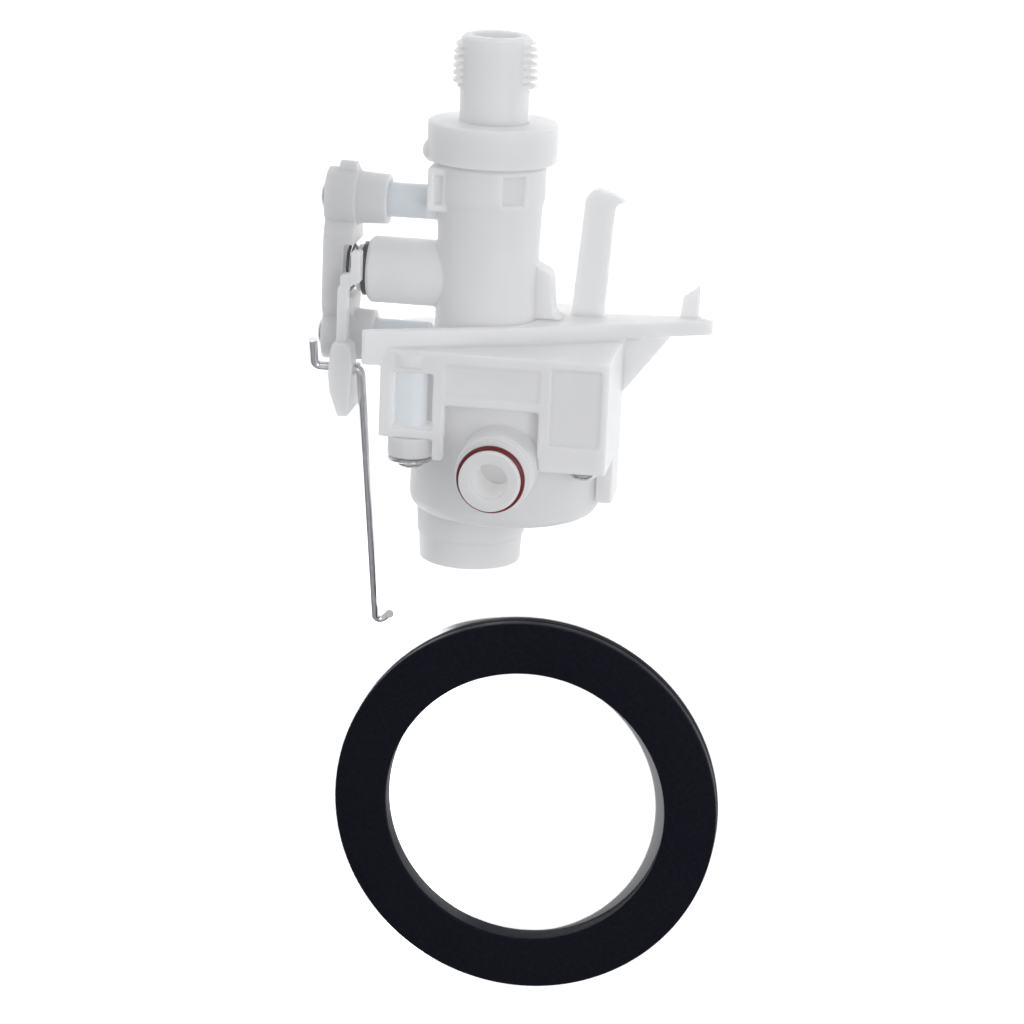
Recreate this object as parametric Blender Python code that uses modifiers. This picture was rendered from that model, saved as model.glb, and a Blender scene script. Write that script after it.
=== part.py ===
"""Toilet fill valve with its pull lever, its wire link and its floor flange seal.

The valve lies on its back with the seal ring beside it, as the kit is laid out on a bench.
Driving dimensions are in millimetres in the valve's own axes: X to the right, Y up the inlet
pipe and Z out of the front. The inlet axis is X = 0, Z = 0, and the plate's top is Y = 0.
"""

from math import cos, hypot, pi, radians, sin, tan

import bmesh
import bpy
from mathutils import Matrix, Vector

MM = 0.001
WELD = 0.00001
SIDES = 24
GAP = 0.3

# The bench, and the shift that puts the origin under the middle of the whole kit
BENCH_Z = -24.5
KIT_CENTRE = (11.1, -60.35)

# Inlet: a half-inch pipe thread on a neck, held by a cap over the body's collar
INLET_TOP = 71.4
INLET_BORE = 6.0
NECK_RADIUS = 8.7
LEAD_RADIUS = 8.4
THREAD_RADIUS = 10.65
THREAD_PITCH = 25.4 / 14
THREAD_TOP = 70.7
THREAD_TURNS = 7
THREAD_FLAT = 6.4
FLANGE = (12.6, 43.6, 46.6)
CAP_RADIUS = 16.4
CAP_SPAN = (39.8, 49.7)

# Body tube
TUBE_RADIUS = 12.9
COLLAR_RADIUS = 13.9
TUBE_SPAN = (-8.4, 41.5)
BORE = 10.0
SHELF = (8.0, 17.0, 19.0)
STEM_Y = 9.8
UPPER_POST_Y = 28.0
LOWER_POST_Y = -7.5
POST_RADIUS = 4.4
POST_END = -30.0
BARREL_RADIUS = 8.5
BARREL_END = -30.3
PILOT_RADIUS = 1.7

# Shaft and its eccentric cam, which lifts the poppet
STEM_RADIUS = 2.6
STEM_BORE = 3.0
GLAND_BORE = 5.6
CAM_RADIUS = 4.8
CAM_THROW = 4.0
CAM_REST = radians(20)
CAM_HALF = 3.7

# End cover and lever
COVER = (-41.5, -33.5)
COVER_LOBE = 6.8
COVER_WAIST = 6.3
COVER_NOTCH = (-36.1, 3.0, 16.6)
BOSS_RADIUS = 6.75
LEVER_HUB = (-33.2, -31.9)
WIRE_RADIUS = 1.15
WIRE_PIVOT = (-14.3, 10.0)

# Mounting plate and its legs
FLOOR = (-8.7, -5.5)
WING_THICK = 4.0
HOLE_RADIUS = 13.3
LEG_FRONT = 27.0
LEDGE_TOP = -4.5
FRONT_LINE = [(-25.8, 29.0), (16.0, 10.5), (36.0, -1.0)]
WING_TIP = (57.4, -12.8)
COLUMN_RADIUS = 3.9

# Outlet housing
CHAMBER_X = 6.8
CHAMBER_RADIUS = 24.5
CHAMBER_WALL = 2.2
CHAMBER_SPAN = (-50.0, -10.8)
SPIGOT_X = -1.7
SPIGOT_END = -64.3
SPIGOT_BORE = 10.6
EAR_SPAN = (-32.5, -27.3)
EARS = {"left": (-14.6, 21.8), "right": (29.3, 20.0), "rear": (-17.9, -17.5)}
EAR_RADII = {"left": 5.7, "right": 4.6, "rear": 5.4}
NOZZLE = (8.7, -32.5)
NOZZLE_BOSS = (9.8, 34.0)
NOZZLE_RADIUS = 7.7
NOZZLE_TIP = 42.0
NOZZLE_FLOOR = 24.3
NOZZLE_BORE = 4.4

# Floor flange seal
SEAL_CENTRE = (13.2, -139.9)
SEAL_RADIUS = 52.2
SEAL_HOLE = 38.1
SEAL_THICK = 6.5

# Finishes: colour, roughness, metallic
MILKY = ((0.66, 0.67, 0.68), 0.38, 0.0)
WHITE = ((0.74, 0.74, 0.75), 0.42, 0.0)
RUBBER = ((0.012, 0.013, 0.022), 0.62, 0.0)
RED = ((0.30, 0.008, 0.012), 0.45, 0.0)
STEEL = ((0.62, 0.62, 0.63), 0.24, 1.0)
DARK_STEEL = ((0.16, 0.16, 0.17), 0.38, 1.0)
BRASS = ((0.72, 0.52, 0.24), 0.3, 1.0)

# How each axis of work maps a shape drawn along Z: the shape's own x and y go to the two others
ALONG = {
    "X": Matrix(((0, 0, 1), (1, 0, 0), (0, 1, 0))).to_4x4(),
    "Y": Matrix(((1, 0, 0), (0, 0, 1), (0, 1, 0))).to_4x4(),
    "Z": Matrix.Identity(4),
}


# ---------------------------------------------------------------- scene and helpers

for old in list(bpy.data.objects):
    bpy.data.objects.remove(old)
for old in list(bpy.data.collections):
    bpy.data.collections.remove(old)

parts = bpy.data.collections.new("toilet_fill_valve")
cutters = bpy.data.collections.new("cutters")
bpy.context.scene.collection.children.link(parts)
bpy.context.scene.collection.children.link(cutters)
cutters.hide_render = True

root = bpy.data.objects.new("valve_origin", None)
root.location = Vector((-KIT_CENTRE[0], -KIT_CENTRE[1], -BENCH_Z)) * MM
parts.objects.link(root)


def clean(mesh, matrix):
    """Moves a mesh into place, welds it and turns its faces outward."""
    mesh.transform(matrix)
    work = bmesh.new()
    work.from_mesh(mesh)
    bmesh.ops.remove_doubles(work, verts=work.verts, dist=WELD)
    bmesh.ops.recalc_face_normals(work, faces=work.faces)
    work.to_mesh(mesh)
    work.free()


def solid(mesh, axis="Z", centre=(0.0, 0.0)):
    """A working solid: the mesh drawn along Z is laid along the axis, through the centre."""
    place = ALONG[axis] @ Matrix.Translation((centre[0] * MM, centre[1] * MM, 0))
    clean(mesh, place)
    piece = bpy.data.objects.new("solid", mesh)
    piece.parent = root
    parts.objects.link(piece)
    return piece


def evaluated(source):
    """The mesh of an object with its modifiers or its curve bevel worked out."""
    bpy.context.view_layer.update()
    graph = bpy.context.evaluated_depsgraph_get()
    mesh = bpy.data.meshes.new_from_object(source.evaluated_get(graph))
    bpy.data.objects.remove(source)
    return mesh


def block(low, high, bevel=0.0):
    """A box between two corners, with bevelled edges where asked."""
    bpy.ops.mesh.primitive_cube_add(size=1.0)
    cube = bpy.context.object
    size = [high[i] - low[i] for i in range(3)]
    middle = [(high[i] + low[i]) / 2 for i in range(3)]
    cube.data.transform(Matrix.Diagonal((*(s * MM for s in size), 1)))
    if bevel:
        edge = cube.modifiers.new("edges", "BEVEL")
        edge.width = bevel * MM
        edge.segments = 1
    mesh = evaluated(cube)
    mesh.transform(Matrix.Translation(Vector(middle) * MM))
    return solid(mesh)


def cylinder(axis, centre, start, end, radius, end_radius=None, sides=SIDES):
    """A cylinder or cone along the axis."""
    work = bmesh.new()
    bmesh.ops.create_cone(
        work,
        cap_ends=True,
        segments=sides,
        radius1=radius * MM,
        radius2=(radius if end_radius is None else end_radius) * MM,
        depth=(end - start) * MM,
        matrix=Matrix.Translation((0, 0, (start + end) / 2 * MM)),
    )
    mesh = bpy.data.meshes.new("cylinder")
    work.to_mesh(mesh)
    work.free()
    return solid(mesh, axis, centre)


def turned(axis, centre, profile, sides=SIDES):
    """A profile of (radius, height) points, down the outside first, turned about the axis."""
    mesh = bpy.data.meshes.new("profile")
    points = [(r * MM, 0, h * MM) for r, h in profile]
    closed = profile[0][0] > 0
    count = len(points)
    edges = [(i, (i + 1) % count) for i in range(count if closed else count - 1)]
    mesh.from_pydata(points, edges, [])
    lathe = bpy.data.objects.new("lathe", mesh)
    bpy.context.scene.collection.objects.link(lathe)
    screw = lathe.modifiers.new("turn", "SCREW")
    screw.steps = sides
    screw.render_steps = sides
    screw.use_merge_vertices = True
    screw.merge_threshold = WELD
    return solid(evaluated(lathe), axis, centre)


def slab(axis, points, start, end, bevel=0.0):
    """A flat outline, given in the two other axes, extruded along the axis."""
    curve = bpy.data.curves.new("outline", "CURVE")
    curve.dimensions = "2D"
    curve.fill_mode = "BOTH"
    curve.extrude = (end - start) / 2 * MM
    spline = curve.splines.new("POLY")
    spline.points.add(len(points) - 1)
    for knot, point in zip(spline.points, points):
        knot.co = (point[0] * MM, point[1] * MM, 0, 1)
    spline.use_cyclic_u = True
    shape = bpy.data.objects.new("outline", curve)
    bpy.context.scene.collection.objects.link(shape)
    if bevel:
        weld = shape.modifiers.new("weld", "WELD")
        weld.merge_threshold = WELD
        edge = shape.modifiers.new("edges", "BEVEL")
        edge.width = bevel * MM
        edge.segments = 1
        edge.limit_method = "ANGLE"
        edge.angle_limit = radians(50)
    mesh = evaluated(shape)
    mesh.transform(Matrix.Translation((0, 0, (start + end) / 2 * MM)))
    return solid(mesh, axis)


def stepped_bore(centre, mouth, wide, step, narrow, bottom):
    """A cutter along X: a wide bore from its mouth to the step, then a narrow one."""
    profile = [(0, mouth), (wide, mouth), (wide, step), (narrow, step), (narrow, bottom)]
    return turned("X", centre, [*profile, (0, bottom)], 22)


def rod(route, radius, cyclic=False):
    """A round wire along a route of points."""
    curve = bpy.data.curves.new("wire", "CURVE")
    curve.dimensions = "3D"
    curve.bevel_depth = radius * MM
    curve.bevel_resolution = 2
    curve.use_fill_caps = True
    spline = curve.splines.new("POLY")
    spline.points.add(len(route) - 1)
    for knot, point in zip(spline.points, route):
        knot.co = (point[0] * MM, point[1] * MM, point[2] * MM, 1)
    spline.use_cyclic_u = cyclic
    wire = bpy.data.objects.new("wire", curve)
    bpy.context.scene.collection.objects.link(wire)
    return solid(evaluated(wire))


def ball(centre, radius):
    """A sphere."""
    work = bmesh.new()
    bmesh.ops.create_uvsphere(work, u_segments=12, v_segments=8, radius=radius * MM)
    mesh = bpy.data.meshes.new("ball")
    work.to_mesh(mesh)
    work.free()
    mesh.transform(Matrix.Translation(Vector(centre) * MM))
    return solid(mesh)


def combine(target, tools, operation):
    """Adds one Boolean for each tool, which moves to the cutters."""
    for tool in tools:
        parts.objects.unlink(tool)
        cutters.objects.link(tool)
        tool.name = "cutter"
        tool.hide_render = True
        tool.display_type = "WIRE"
        change = target.modifiers.new(operation.lower(), "BOOLEAN")
        change.operation = operation
        change.object = tool
    return target


def joined(target, *tools):
    return combine(target, tools, "UNION")


def cut(target, *tools):
    return combine(target, tools, "DIFFERENCE")


def arc(centre, radius, start, end, steps):
    """Points round part of a circle, angles in degrees."""
    angles = [radians(start + (end - start) * i / steps) for i in range(steps + 1)]
    return [(centre[0] + radius * cos(a), centre[1] + radius * sin(a)) for a in angles]


def o_ring(axis, centre, place, ring_radius, section):
    """A round-section ring, as a turned circle."""
    steps = 6
    turn = [-2 * pi * i / steps for i in range(steps)]
    profile = [(ring_radius + section * cos(a), place + section * sin(a)) for a in turn]
    return turned(axis, centre, profile, 20)


def coil(axis, centre, start, end, radius, wire, turns):
    """A compression or torsion coil."""
    steps = 9
    count = round(turns * steps)
    points = []
    for i in range(count + 1):
        angle = 2 * pi * i / steps
        height = start + wire + (end - start - 2 * wire) * i / count
        flat = Vector((radius * cos(angle), radius * sin(angle), height))
        points.append(ALONG[axis].to_3x3() @ (flat + Vector((centre[0], centre[1], 0))))
    return rod(points, wire)


def rounded_route(corners, radius, steps=4):
    """A route through corner points, each inner corner rounded to the radius."""
    route = [Vector(corners[0])]
    for before, here, after in zip(corners, corners[1:], corners[2:]):
        here = Vector(here)
        back = (Vector(before) - here).normalized()
        ahead = (Vector(after) - here).normalized()
        half = back.angle(ahead) / 2
        reach = radius / tan(half)
        centre = here + (back + ahead).normalized() * radius / sin(half)
        first = (here + back * reach - centre).normalized()
        last = (here + ahead * reach - centre).normalized()
        route += [centre + radius * first.slerp(last, i / steps) for i in range(steps + 1)]
    route.append(Vector(corners[-1]))
    return route


def finish(piece, name, look, pivot=None):
    """Names a node, gives it its finish and puts a moving piece's origin on its axis."""
    piece.name = name
    piece.data.name = name
    colour, roughness, metallic = look
    material = bpy.data.materials.new(name)
    material.use_nodes = True
    shader = material.node_tree.nodes["Principled BSDF"]
    shader.inputs["Base Color"].default_value = (*colour, 1)
    shader.inputs["Roughness"].default_value = roughness
    shader.inputs["Metallic"].default_value = metallic
    piece.data.materials.clear()
    piece.data.materials.append(material)
    piece.data.shade_smooth()
    piece.data.set_sharp_from_angle(angle=radians(35))
    if pivot:
        place = Vector(pivot) * MM
        piece.data.transform(Matrix.Translation(-place))
        piece.location = place


# ---------------------------------------------------------------- inlet


def thread_ridges():
    """Turned thread ridges, left and right only: the front and back are flat for the mould."""
    profile = [(LEAD_RADIUS - 1.0, THREAD_TOP - 0.2)]
    for turn in range(THREAD_TURNS):
        top = THREAD_TOP - turn * THREAD_PITCH
        crest = min(THREAD_RADIUS, 9.7 + 0.5 * turn)
        profile.append((LEAD_RADIUS - 0.4, top - 0.05 * THREAD_PITCH))
        profile.append((crest, top - 0.35 * THREAD_PITCH))
        profile.append((crest, top - 0.60 * THREAD_PITCH))
        profile.append((LEAD_RADIUS - 0.4, top - 0.95 * THREAD_PITCH))
    profile.append((LEAD_RADIUS - 1.0, THREAD_TOP - THREAD_TURNS * THREAD_PITCH))
    low = THREAD_TOP - THREAD_TURNS * THREAD_PITCH - 1
    front = block((-12.0, low, THREAD_FLAT), (12.0, THREAD_TOP + 1, 12.0))
    back = block((-12.0, low, -12.0), (12.0, THREAD_TOP + 1, -THREAD_FLAT))
    return cut(turned("Y", (0, 0), profile, 28), front, back)


def inlet_fitting():
    """Threaded nipple: neck, interrupted thread and the flange held under the cap."""
    chamfer = 0.5
    radius, low, high = FLANGE
    profile = [
        (LEAD_RADIUS - chamfer, INLET_TOP),
        (LEAD_RADIUS, INLET_TOP - chamfer),
        (NECK_RADIUS, THREAD_TOP),
        (NECK_RADIUS, high),
        (radius, high),
        (radius, low),
        (INLET_BORE, low),
        (INLET_BORE, INLET_TOP),
    ]
    nipple = turned("Y", (0, 0), profile, 24)
    finish(joined(nipple, thread_ridges()), "inlet_fitting", MILKY)


def inlet_cap():
    """Retaining cap over the flange, with a round locking lump on its left."""
    low, high = CAP_SPAN
    lid = FLANGE[2] + GAP
    skirt = 14.2
    profile = [
        (NECK_RADIUS + GAP, high),
        (CAP_RADIUS - 0.6, high),
        (CAP_RADIUS, high - 0.6),
        (CAP_RADIUS, low + 0.5),
        (CAP_RADIUS - 0.5, low),
        (skirt, low),
        (skirt, lid),
        (NECK_RADIUS + GAP, lid),
    ]
    cap = turned("Y", (0, 0), profile)
    lump = ball((-14.0, 42.0, 3.2), 3.2)
    cap = joined(cap, lump)
    finish(cut(cap, cylinder("Y", (0, 0), low - 1, lid, skirt)), "inlet_cap", MILKY)


def inlet_internals():
    """Gasket under the flange and the strainer in the bore."""
    gasket = [(12.4, 43.3), (12.4, 41.8), (6.5, 41.8), (6.5, 43.3)]
    finish(turned("Y", (0, 0), gasket, 20), "inlet_gasket", RUBBER)
    cup = [
        (0, 58.0),
        (3.6, 57.6),
        (5.0, 56.0),
        (5.6, 44.0),
        (4.8, 44.0),
        (4.3, 55.4),
        (3.2, 56.8),
        (0, 57.2),
    ]
    finish(turned("Y", (0, 0), cup, 16), "inlet_screen", STEEL)


# ---------------------------------------------------------------- body and its inside


def valve_body():
    """Body tube with its collar, its cross barrel, the upper cover post and a base rib."""
    low, high = TUBE_SPAN
    shelf_bore, shelf_low, shelf_high = SHELF
    profile = [
        (TUBE_RADIUS - 0.5, high),
        (TUBE_RADIUS, high - 0.5),
        (TUBE_RADIUS, 39.2),
        (COLLAR_RADIUS, 38.6),
        (COLLAR_RADIUS, 30.6),
        (TUBE_RADIUS + 0.4, 28.6),
        (TUBE_RADIUS, 15.0),
        (TUBE_RADIUS, low),
        (0, low),
    ]
    body = turned("Y", (0, 0), [(0, high), *profile], 28)
    bore = [
        (0, high + 1),
        (BORE, high + 1),
        (BORE, shelf_high),
        (shelf_bore, shelf_high),
        (shelf_bore, shelf_low),
        (BORE, shelf_low),
        (BORE, low - 1),
        (0, low - 1),
    ]
    barrel = [
        (0, -9.5),
        (BARREL_RADIUS, -9.5),
        (BARREL_RADIUS, BARREL_END + 1.0),
        (BARREL_RADIUS - 1.0, BARREL_END),
        (0, BARREL_END),
    ]
    joined(
        body,
        turned("X", (STEM_Y, 0), barrel),
        cylinder("X", (UPPER_POST_Y, 0), POST_END, -9.5, POST_RADIUS),
        block((-14.7, 27.4, -4.0), (-8.4, 38.4, 9.4), 0.5),
        slab("Z", base_rib_outline(), -6.0, 2.0),
    )
    cut(
        body,
        turned("Y", (0, 0), bore, 27),
        stepped_bore((STEM_Y, 0), BARREL_END - 1, GLAND_BORE, -21.5, STEM_BORE, -5.0),
        cylinder("X", (UPPER_POST_Y, 0), POST_END - 1, -20.0, PILOT_RADIUS, sides=13),
        block((-13.1, 28.9, 6.6), (-10.9, 36.6, 12.0)),
        slab("Y", collar_recess_outline(), 30.2, 37.7),
    )
    finish(body, "valve_body", MILKY)


def collar_recess_outline():
    """The shallow square recess on the front right of the collar, in X and Z."""
    turn = radians(34.5)
    outward = (sin(turn), cos(turn))
    across = (cos(turn), -sin(turn))
    corners = [(12.5, -3.2), (12.5, 3.2), (16.0, 3.2), (16.0, -3.2)]
    return [(r * outward[0] + h * across[0], r * outward[1] + h * across[1]) for r, h in corners]


def base_rib_outline():
    """The stepped rib that braces the tube's right side on the plate."""
    foot = GAP
    return [
        (11.0, 15.2),
        (13.4, 13.4),
        (15.6, 12.4),
        (16.7, 11.0),
        (17.5, 2.2),
        (18.5, 0.9),
        (20.0, foot),
        (11.0, foot),
    ]


def valve_core():
    """Seat, poppet and return spring, from the shelf up to the flow washer."""
    seat = [(9.7, 22.3), (9.7, 19.3), (4.0, 19.3), (4.0, 21.6), (4.7, 22.3)]
    finish(turned("Y", (0, 0), seat, 20), "seat_ring", BRASS)
    seal = [(6.6, 24.1), (6.6, 22.6), (2.3, 22.6), (2.3, 24.1)]
    finish(turned("Y", (0, 0), seal, 20), "poppet_seal", RUBBER, (0, 24, 0))
    poppet = [
        (0, 28.6),
        (3.6, 28.6),
        (3.8, 26.9),
        (7.0, 26.6),
        (7.0, 24.4),
        (1.9, 24.4),
        (1.9, 14.6),
        (0, 14.6),
    ]
    finish(turned("Y", (0, 0), poppet, 20), "poppet", WHITE, (0, 24, 0))
    low = STEM_Y - CAM_THROW * sin(CAM_REST) + CAM_RADIUS + GAP
    follower = [(0, low), (5.6, low), (5.6, 16.0), (2.2, 16.0), (2.2, 14.3), (0, 14.3)]
    finish(turned("Y", (0, 0), follower[::-1], 20), "cam_follower", WHITE, (0, 24, 0))
    finish(coil("Y", (0, 0), 27.0, 33.3, 5.2, 0.5, 4), "poppet_spring", STEEL, (0, 24, 0))
    washer = [(9.7, 38.6), (9.7, 36.4), (3.0, 36.4), (3.0, 38.6)]
    finish(turned("Y", (0, 0), washer, 20), "flow_washer", RUBBER)


def cross_shaft():
    """Shaft with its cam, the gland, its two seals, the thrust washer and torsion spring."""
    axis = (STEM_Y, 0)
    pivot = (-32.0, STEM_Y, 0)
    shaft = cylinder("X", axis, -36.5, CAM_HALF, STEM_RADIUS, sides=18)
    lobe = (STEM_Y - CAM_THROW * sin(CAM_REST), CAM_THROW * cos(CAM_REST))
    cam = cylinder("X", lobe, -CAM_HALF, CAM_HALF + 0.1, CAM_RADIUS, sides=32)
    finish(joined(cam, shaft), "cross_shaft", WHITE, pivot)
    gland = [(5.3, -27.2), (5.3, -30.2), (STEM_BORE, -30.2), (STEM_BORE, -27.2)]
    finish(turned("X", axis, gland, 20), "stem_gland", WHITE)
    for name, place in (("outer", -25.7), ("inner", -23.2)):
        finish(o_ring("X", axis, place, 4.1, 1.1), f"stem_o_ring_{name}", RUBBER)
    washer = [(6.9, -30.8), (6.9, -31.6), (STEM_BORE, -31.6), (STEM_BORE, -30.8)]
    finish(turned("X", axis, washer, 20), "thrust_washer", DARK_STEEL)
    finish(coil("X", axis, -35.8, -33.7, 5.8, 0.4, 1.25), "torsion_spring", DARK_STEEL)


# ---------------------------------------------------------------- cover, lever and wire


def cover_outline():
    """Dog-bone outline in Y and Z: two round lobes with a straight waist."""
    tuck = 40
    upper = arc((UPPER_POST_Y, 0), COVER_LOBE + 0.6, -180 + tuck, 180 - tuck, 9)
    lower = arc((LOWER_POST_Y, 0), COVER_LOBE, tuck, 360 - tuck, 9)
    waist_top = UPPER_POST_Y - 8.5
    waist_low = LOWER_POST_Y + 8.0
    right = [(waist_top, COVER_WAIST), (waist_low, COVER_WAIST)]
    left = [(waist_low, -COVER_WAIST), (waist_top, -COVER_WAIST)]
    return upper + right + lower + left


def end_cover():
    """Cover across the two posts, with sockets for them and a notch for the spring."""
    start, end = COVER
    cover = slab("X", cover_outline(), start, end)
    joined(
        cover,
        cylinder("X", (UPPER_POST_Y, 0), end - 2, -25.6, BOSS_RADIUS, BOSS_RADIUS - 0.5),
        cylinder("X", (LOWER_POST_Y, 0), end - 2, -28.2, BOSS_RADIUS, BOSS_RADIUS - 0.4),
        cylinder("X", (34.6, 0), -38.6, -34.0, 2.6, sides=14),
    )
    socket = POST_RADIUS + GAP
    cut(
        cover,
        cylinder("X", (UPPER_POST_Y, 0), POST_END - GAP, -20.0, socket),
        cylinder("X", (LOWER_POST_Y, 0), POST_END - GAP, -20.0, socket),
        block((COVER_NOTCH[0], COVER_NOTCH[1], -9.0), (end + 1, COVER_NOTCH[2], 9.0)),
        cylinder("X", (STEM_Y, 0), -37.2, end + 1, STEM_BORE, sides=22),
        cylinder("X", (UPPER_POST_Y, 0), start - 1, -20.0, PILOT_RADIUS, sides=13),
        cylinder("X", (LOWER_POST_Y, 0), start - 1, -20.0, PILOT_RADIUS, sides=13),
    )
    finish(cover, "end_cover", MILKY)


def cross_head_screw(name, axis, centre, seat, tip, head, shank, height):
    """A domed screw: its head stands off the seat, its shank runs to the tip."""
    out = 1 if seat > tip else -1
    face = seat + out * GAP
    profile = [
        (0, face + out * height),
        (head * 0.45, face + out * height * 0.93),
        (head * 0.85, face + out * height * 0.5),
        (head, face + out * height * 0.08),
        (head, face),
        (shank, face),
        (shank, tip),
        (0, tip),
    ]
    screw = turned(axis, centre, profile, 18)
    finish(screw, name, STEEL)


def cover_screws():
    for name, place in (("upper", UPPER_POST_Y), ("lower", LOWER_POST_Y)):
        cross_head_screw(f"cover_screw_{name}", "X", (place, 0), COVER[0], -22.0, 3.45, 1.3, 1.5)


def lever():
    """Lever: hub in the gap beside the cover, an arm in front of the cover, and the pull pad."""
    start, end = LEVER_HUB
    pivot = (-32.0, STEM_Y, 0)
    lever_arm = cylinder("X", (STEM_Y, 0), start, end, 6.0)
    web = [(13.6, 2.0), (13.6, 9.0), (7.0, 9.0), (7.0, 2.0)]
    arm = [
        (-33.2, 16.0),
        (-30.75, 16.0),
        (-30.75, 8.2),
        (-33.4, 7.4),
        (-33.9, 5.6),
        (-33.9, -10.0),
        (-36.4, -10.0),
        (-36.4, 6.6),
        (-35.8, 7.2),
        (-35.8, 9.8),
        (-33.8, 10.2),
        (-33.2, 11.0),
    ]
    pad = [
        (-36.8, -7.3),
        (-33.4, -7.3),
        (-32.2, -8.4),
        (-31.7, -13.0),
        (-32.4, -26.0),
        (-35.0, -26.3),
        (-37.3, -20.0),
        (-37.8, -15.0),
        (-37.3, -9.0),
    ]
    joined(
        lever_arm,
        slab("X", web, start + 0.05, end - 0.05),
        slab("Z", arm, 7.4, 11.6),
        slab("Z", pad, -1.0, 14.0),
    )
    cut(
        lever_arm,
        block((-39.0, -15.2, -5.0), (-30.0, -5.0, 7.2)),
        cylinder("X", (STEM_Y, 0), start - 1, end + 1, STEM_RADIUS + GAP, sides=18),
        cylinder("X", WIRE_PIVOT, -45.0, -25.0, WIRE_RADIUS + GAP + 0.05, sides=18),
    )
    finish(lever_arm, "actuator_lever", WHITE, pivot)


def wire_link():
    """Bent wire link: through the lever's eye and down to a small hook near the bench."""
    eye_y, eye_z = WIRE_PIVOT
    floor_z = BENCH_Z + WIRE_RADIUS
    corners = [
        (-42.05, -6.8, 13.2),
        (-42.05, eye_y, eye_z),
        (-30.1, eye_y, eye_z),
        (-30.2, -93.6, floor_z),
        (-25.9, -88.5, floor_z + 0.6),
        (-25.6, -88.2, floor_z + 4.8),
    ]
    route = rounded_route(corners, 1.6)
    finish(rod(route, WIRE_RADIUS), "wire_link", STEEL, (-36.0, eye_y, eye_z))


# ---------------------------------------------------------------- mounting plate


def inner_line(points, depth):
    """The front line moved back by a wall's thickness."""
    (x0, z0), (x1, z1) = points[0], points[-1]
    length = hypot(x1 - x0, z1 - z0)
    back = ((z1 - z0) / length * depth, -(x1 - x0) / length * depth)
    return [(x + back[0], z + back[1]) for x, z in points]


def leg_windows():
    """Openings and recesses in the front of the two legs and the bridge between them."""
    return [
        block((-18.8, -24.5, 20.0), (-8.6, -10.2, 30.0)),
        block((21.2, -26.2, 24.9), (33.6, -6.6, 30.0), 0.6),
        block((-5.6, -15.6, 26.3), (18.2, -7.4, 30.0), 0.4),
    ]


def legs():
    """Solids of the legs, the bridge and the ledge over them."""
    ledge = [(-20.0, LEG_FRONT - 0.1), (34.8, LEG_FRONT - 0.1), (34.8, -3.0)]
    ledge += [(16.0, 8.8), (-20.0, 24.8)]
    side = [(-4.6, 26.8), (-32.9, 26.8), (-32.9, -6.0), (-4.6, -6.0)]
    return [
        slab("Y", ledge, FLOOR[0], LEDGE_TOP),
        block((-22.0, -27.0, 6.0), (-19.6, -6.5, 26.9)),
        block((-22.0, -27.0, 22.6), (-5.7, -6.5, LEG_FRONT), 0.4),
        block((-22.0, -27.0, 8.0), (-5.8, -24.5, 26.8)),
        block((-8.3, -32.2, 23.6), (-5.6, -6.5, 26.9), 0.3),
        block((-6.0, -18.0, 24.8), (19.0, -6.5, 26.95)),
        block((18.2, -33.0, 22.0), (35.5, -6.5, LEG_FRONT), 0.4),
        slab("X", side, 33.0, 35.45),
        block((31.2, -45.4, -5.9), (35.3, -31.0, 7.0)),
        cylinder("Y", (27.2, 21.6), -26.9, -6.0, 4.2),
    ]


def snap_post_outline():
    """Leaning post with its hooked head."""
    return [
        (20.9, -1.0),
        (23.3, 30.4),
        *arc((26.6, 30.0), 2.9, 150, 60, 4),
        (30.4, 31.8),
        (32.4, 31.0),
        (33.3, 29.8),
        (31.6, 29.2),
        (30.9, 27.4),
        (29.4, -1.0),
    ]


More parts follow.
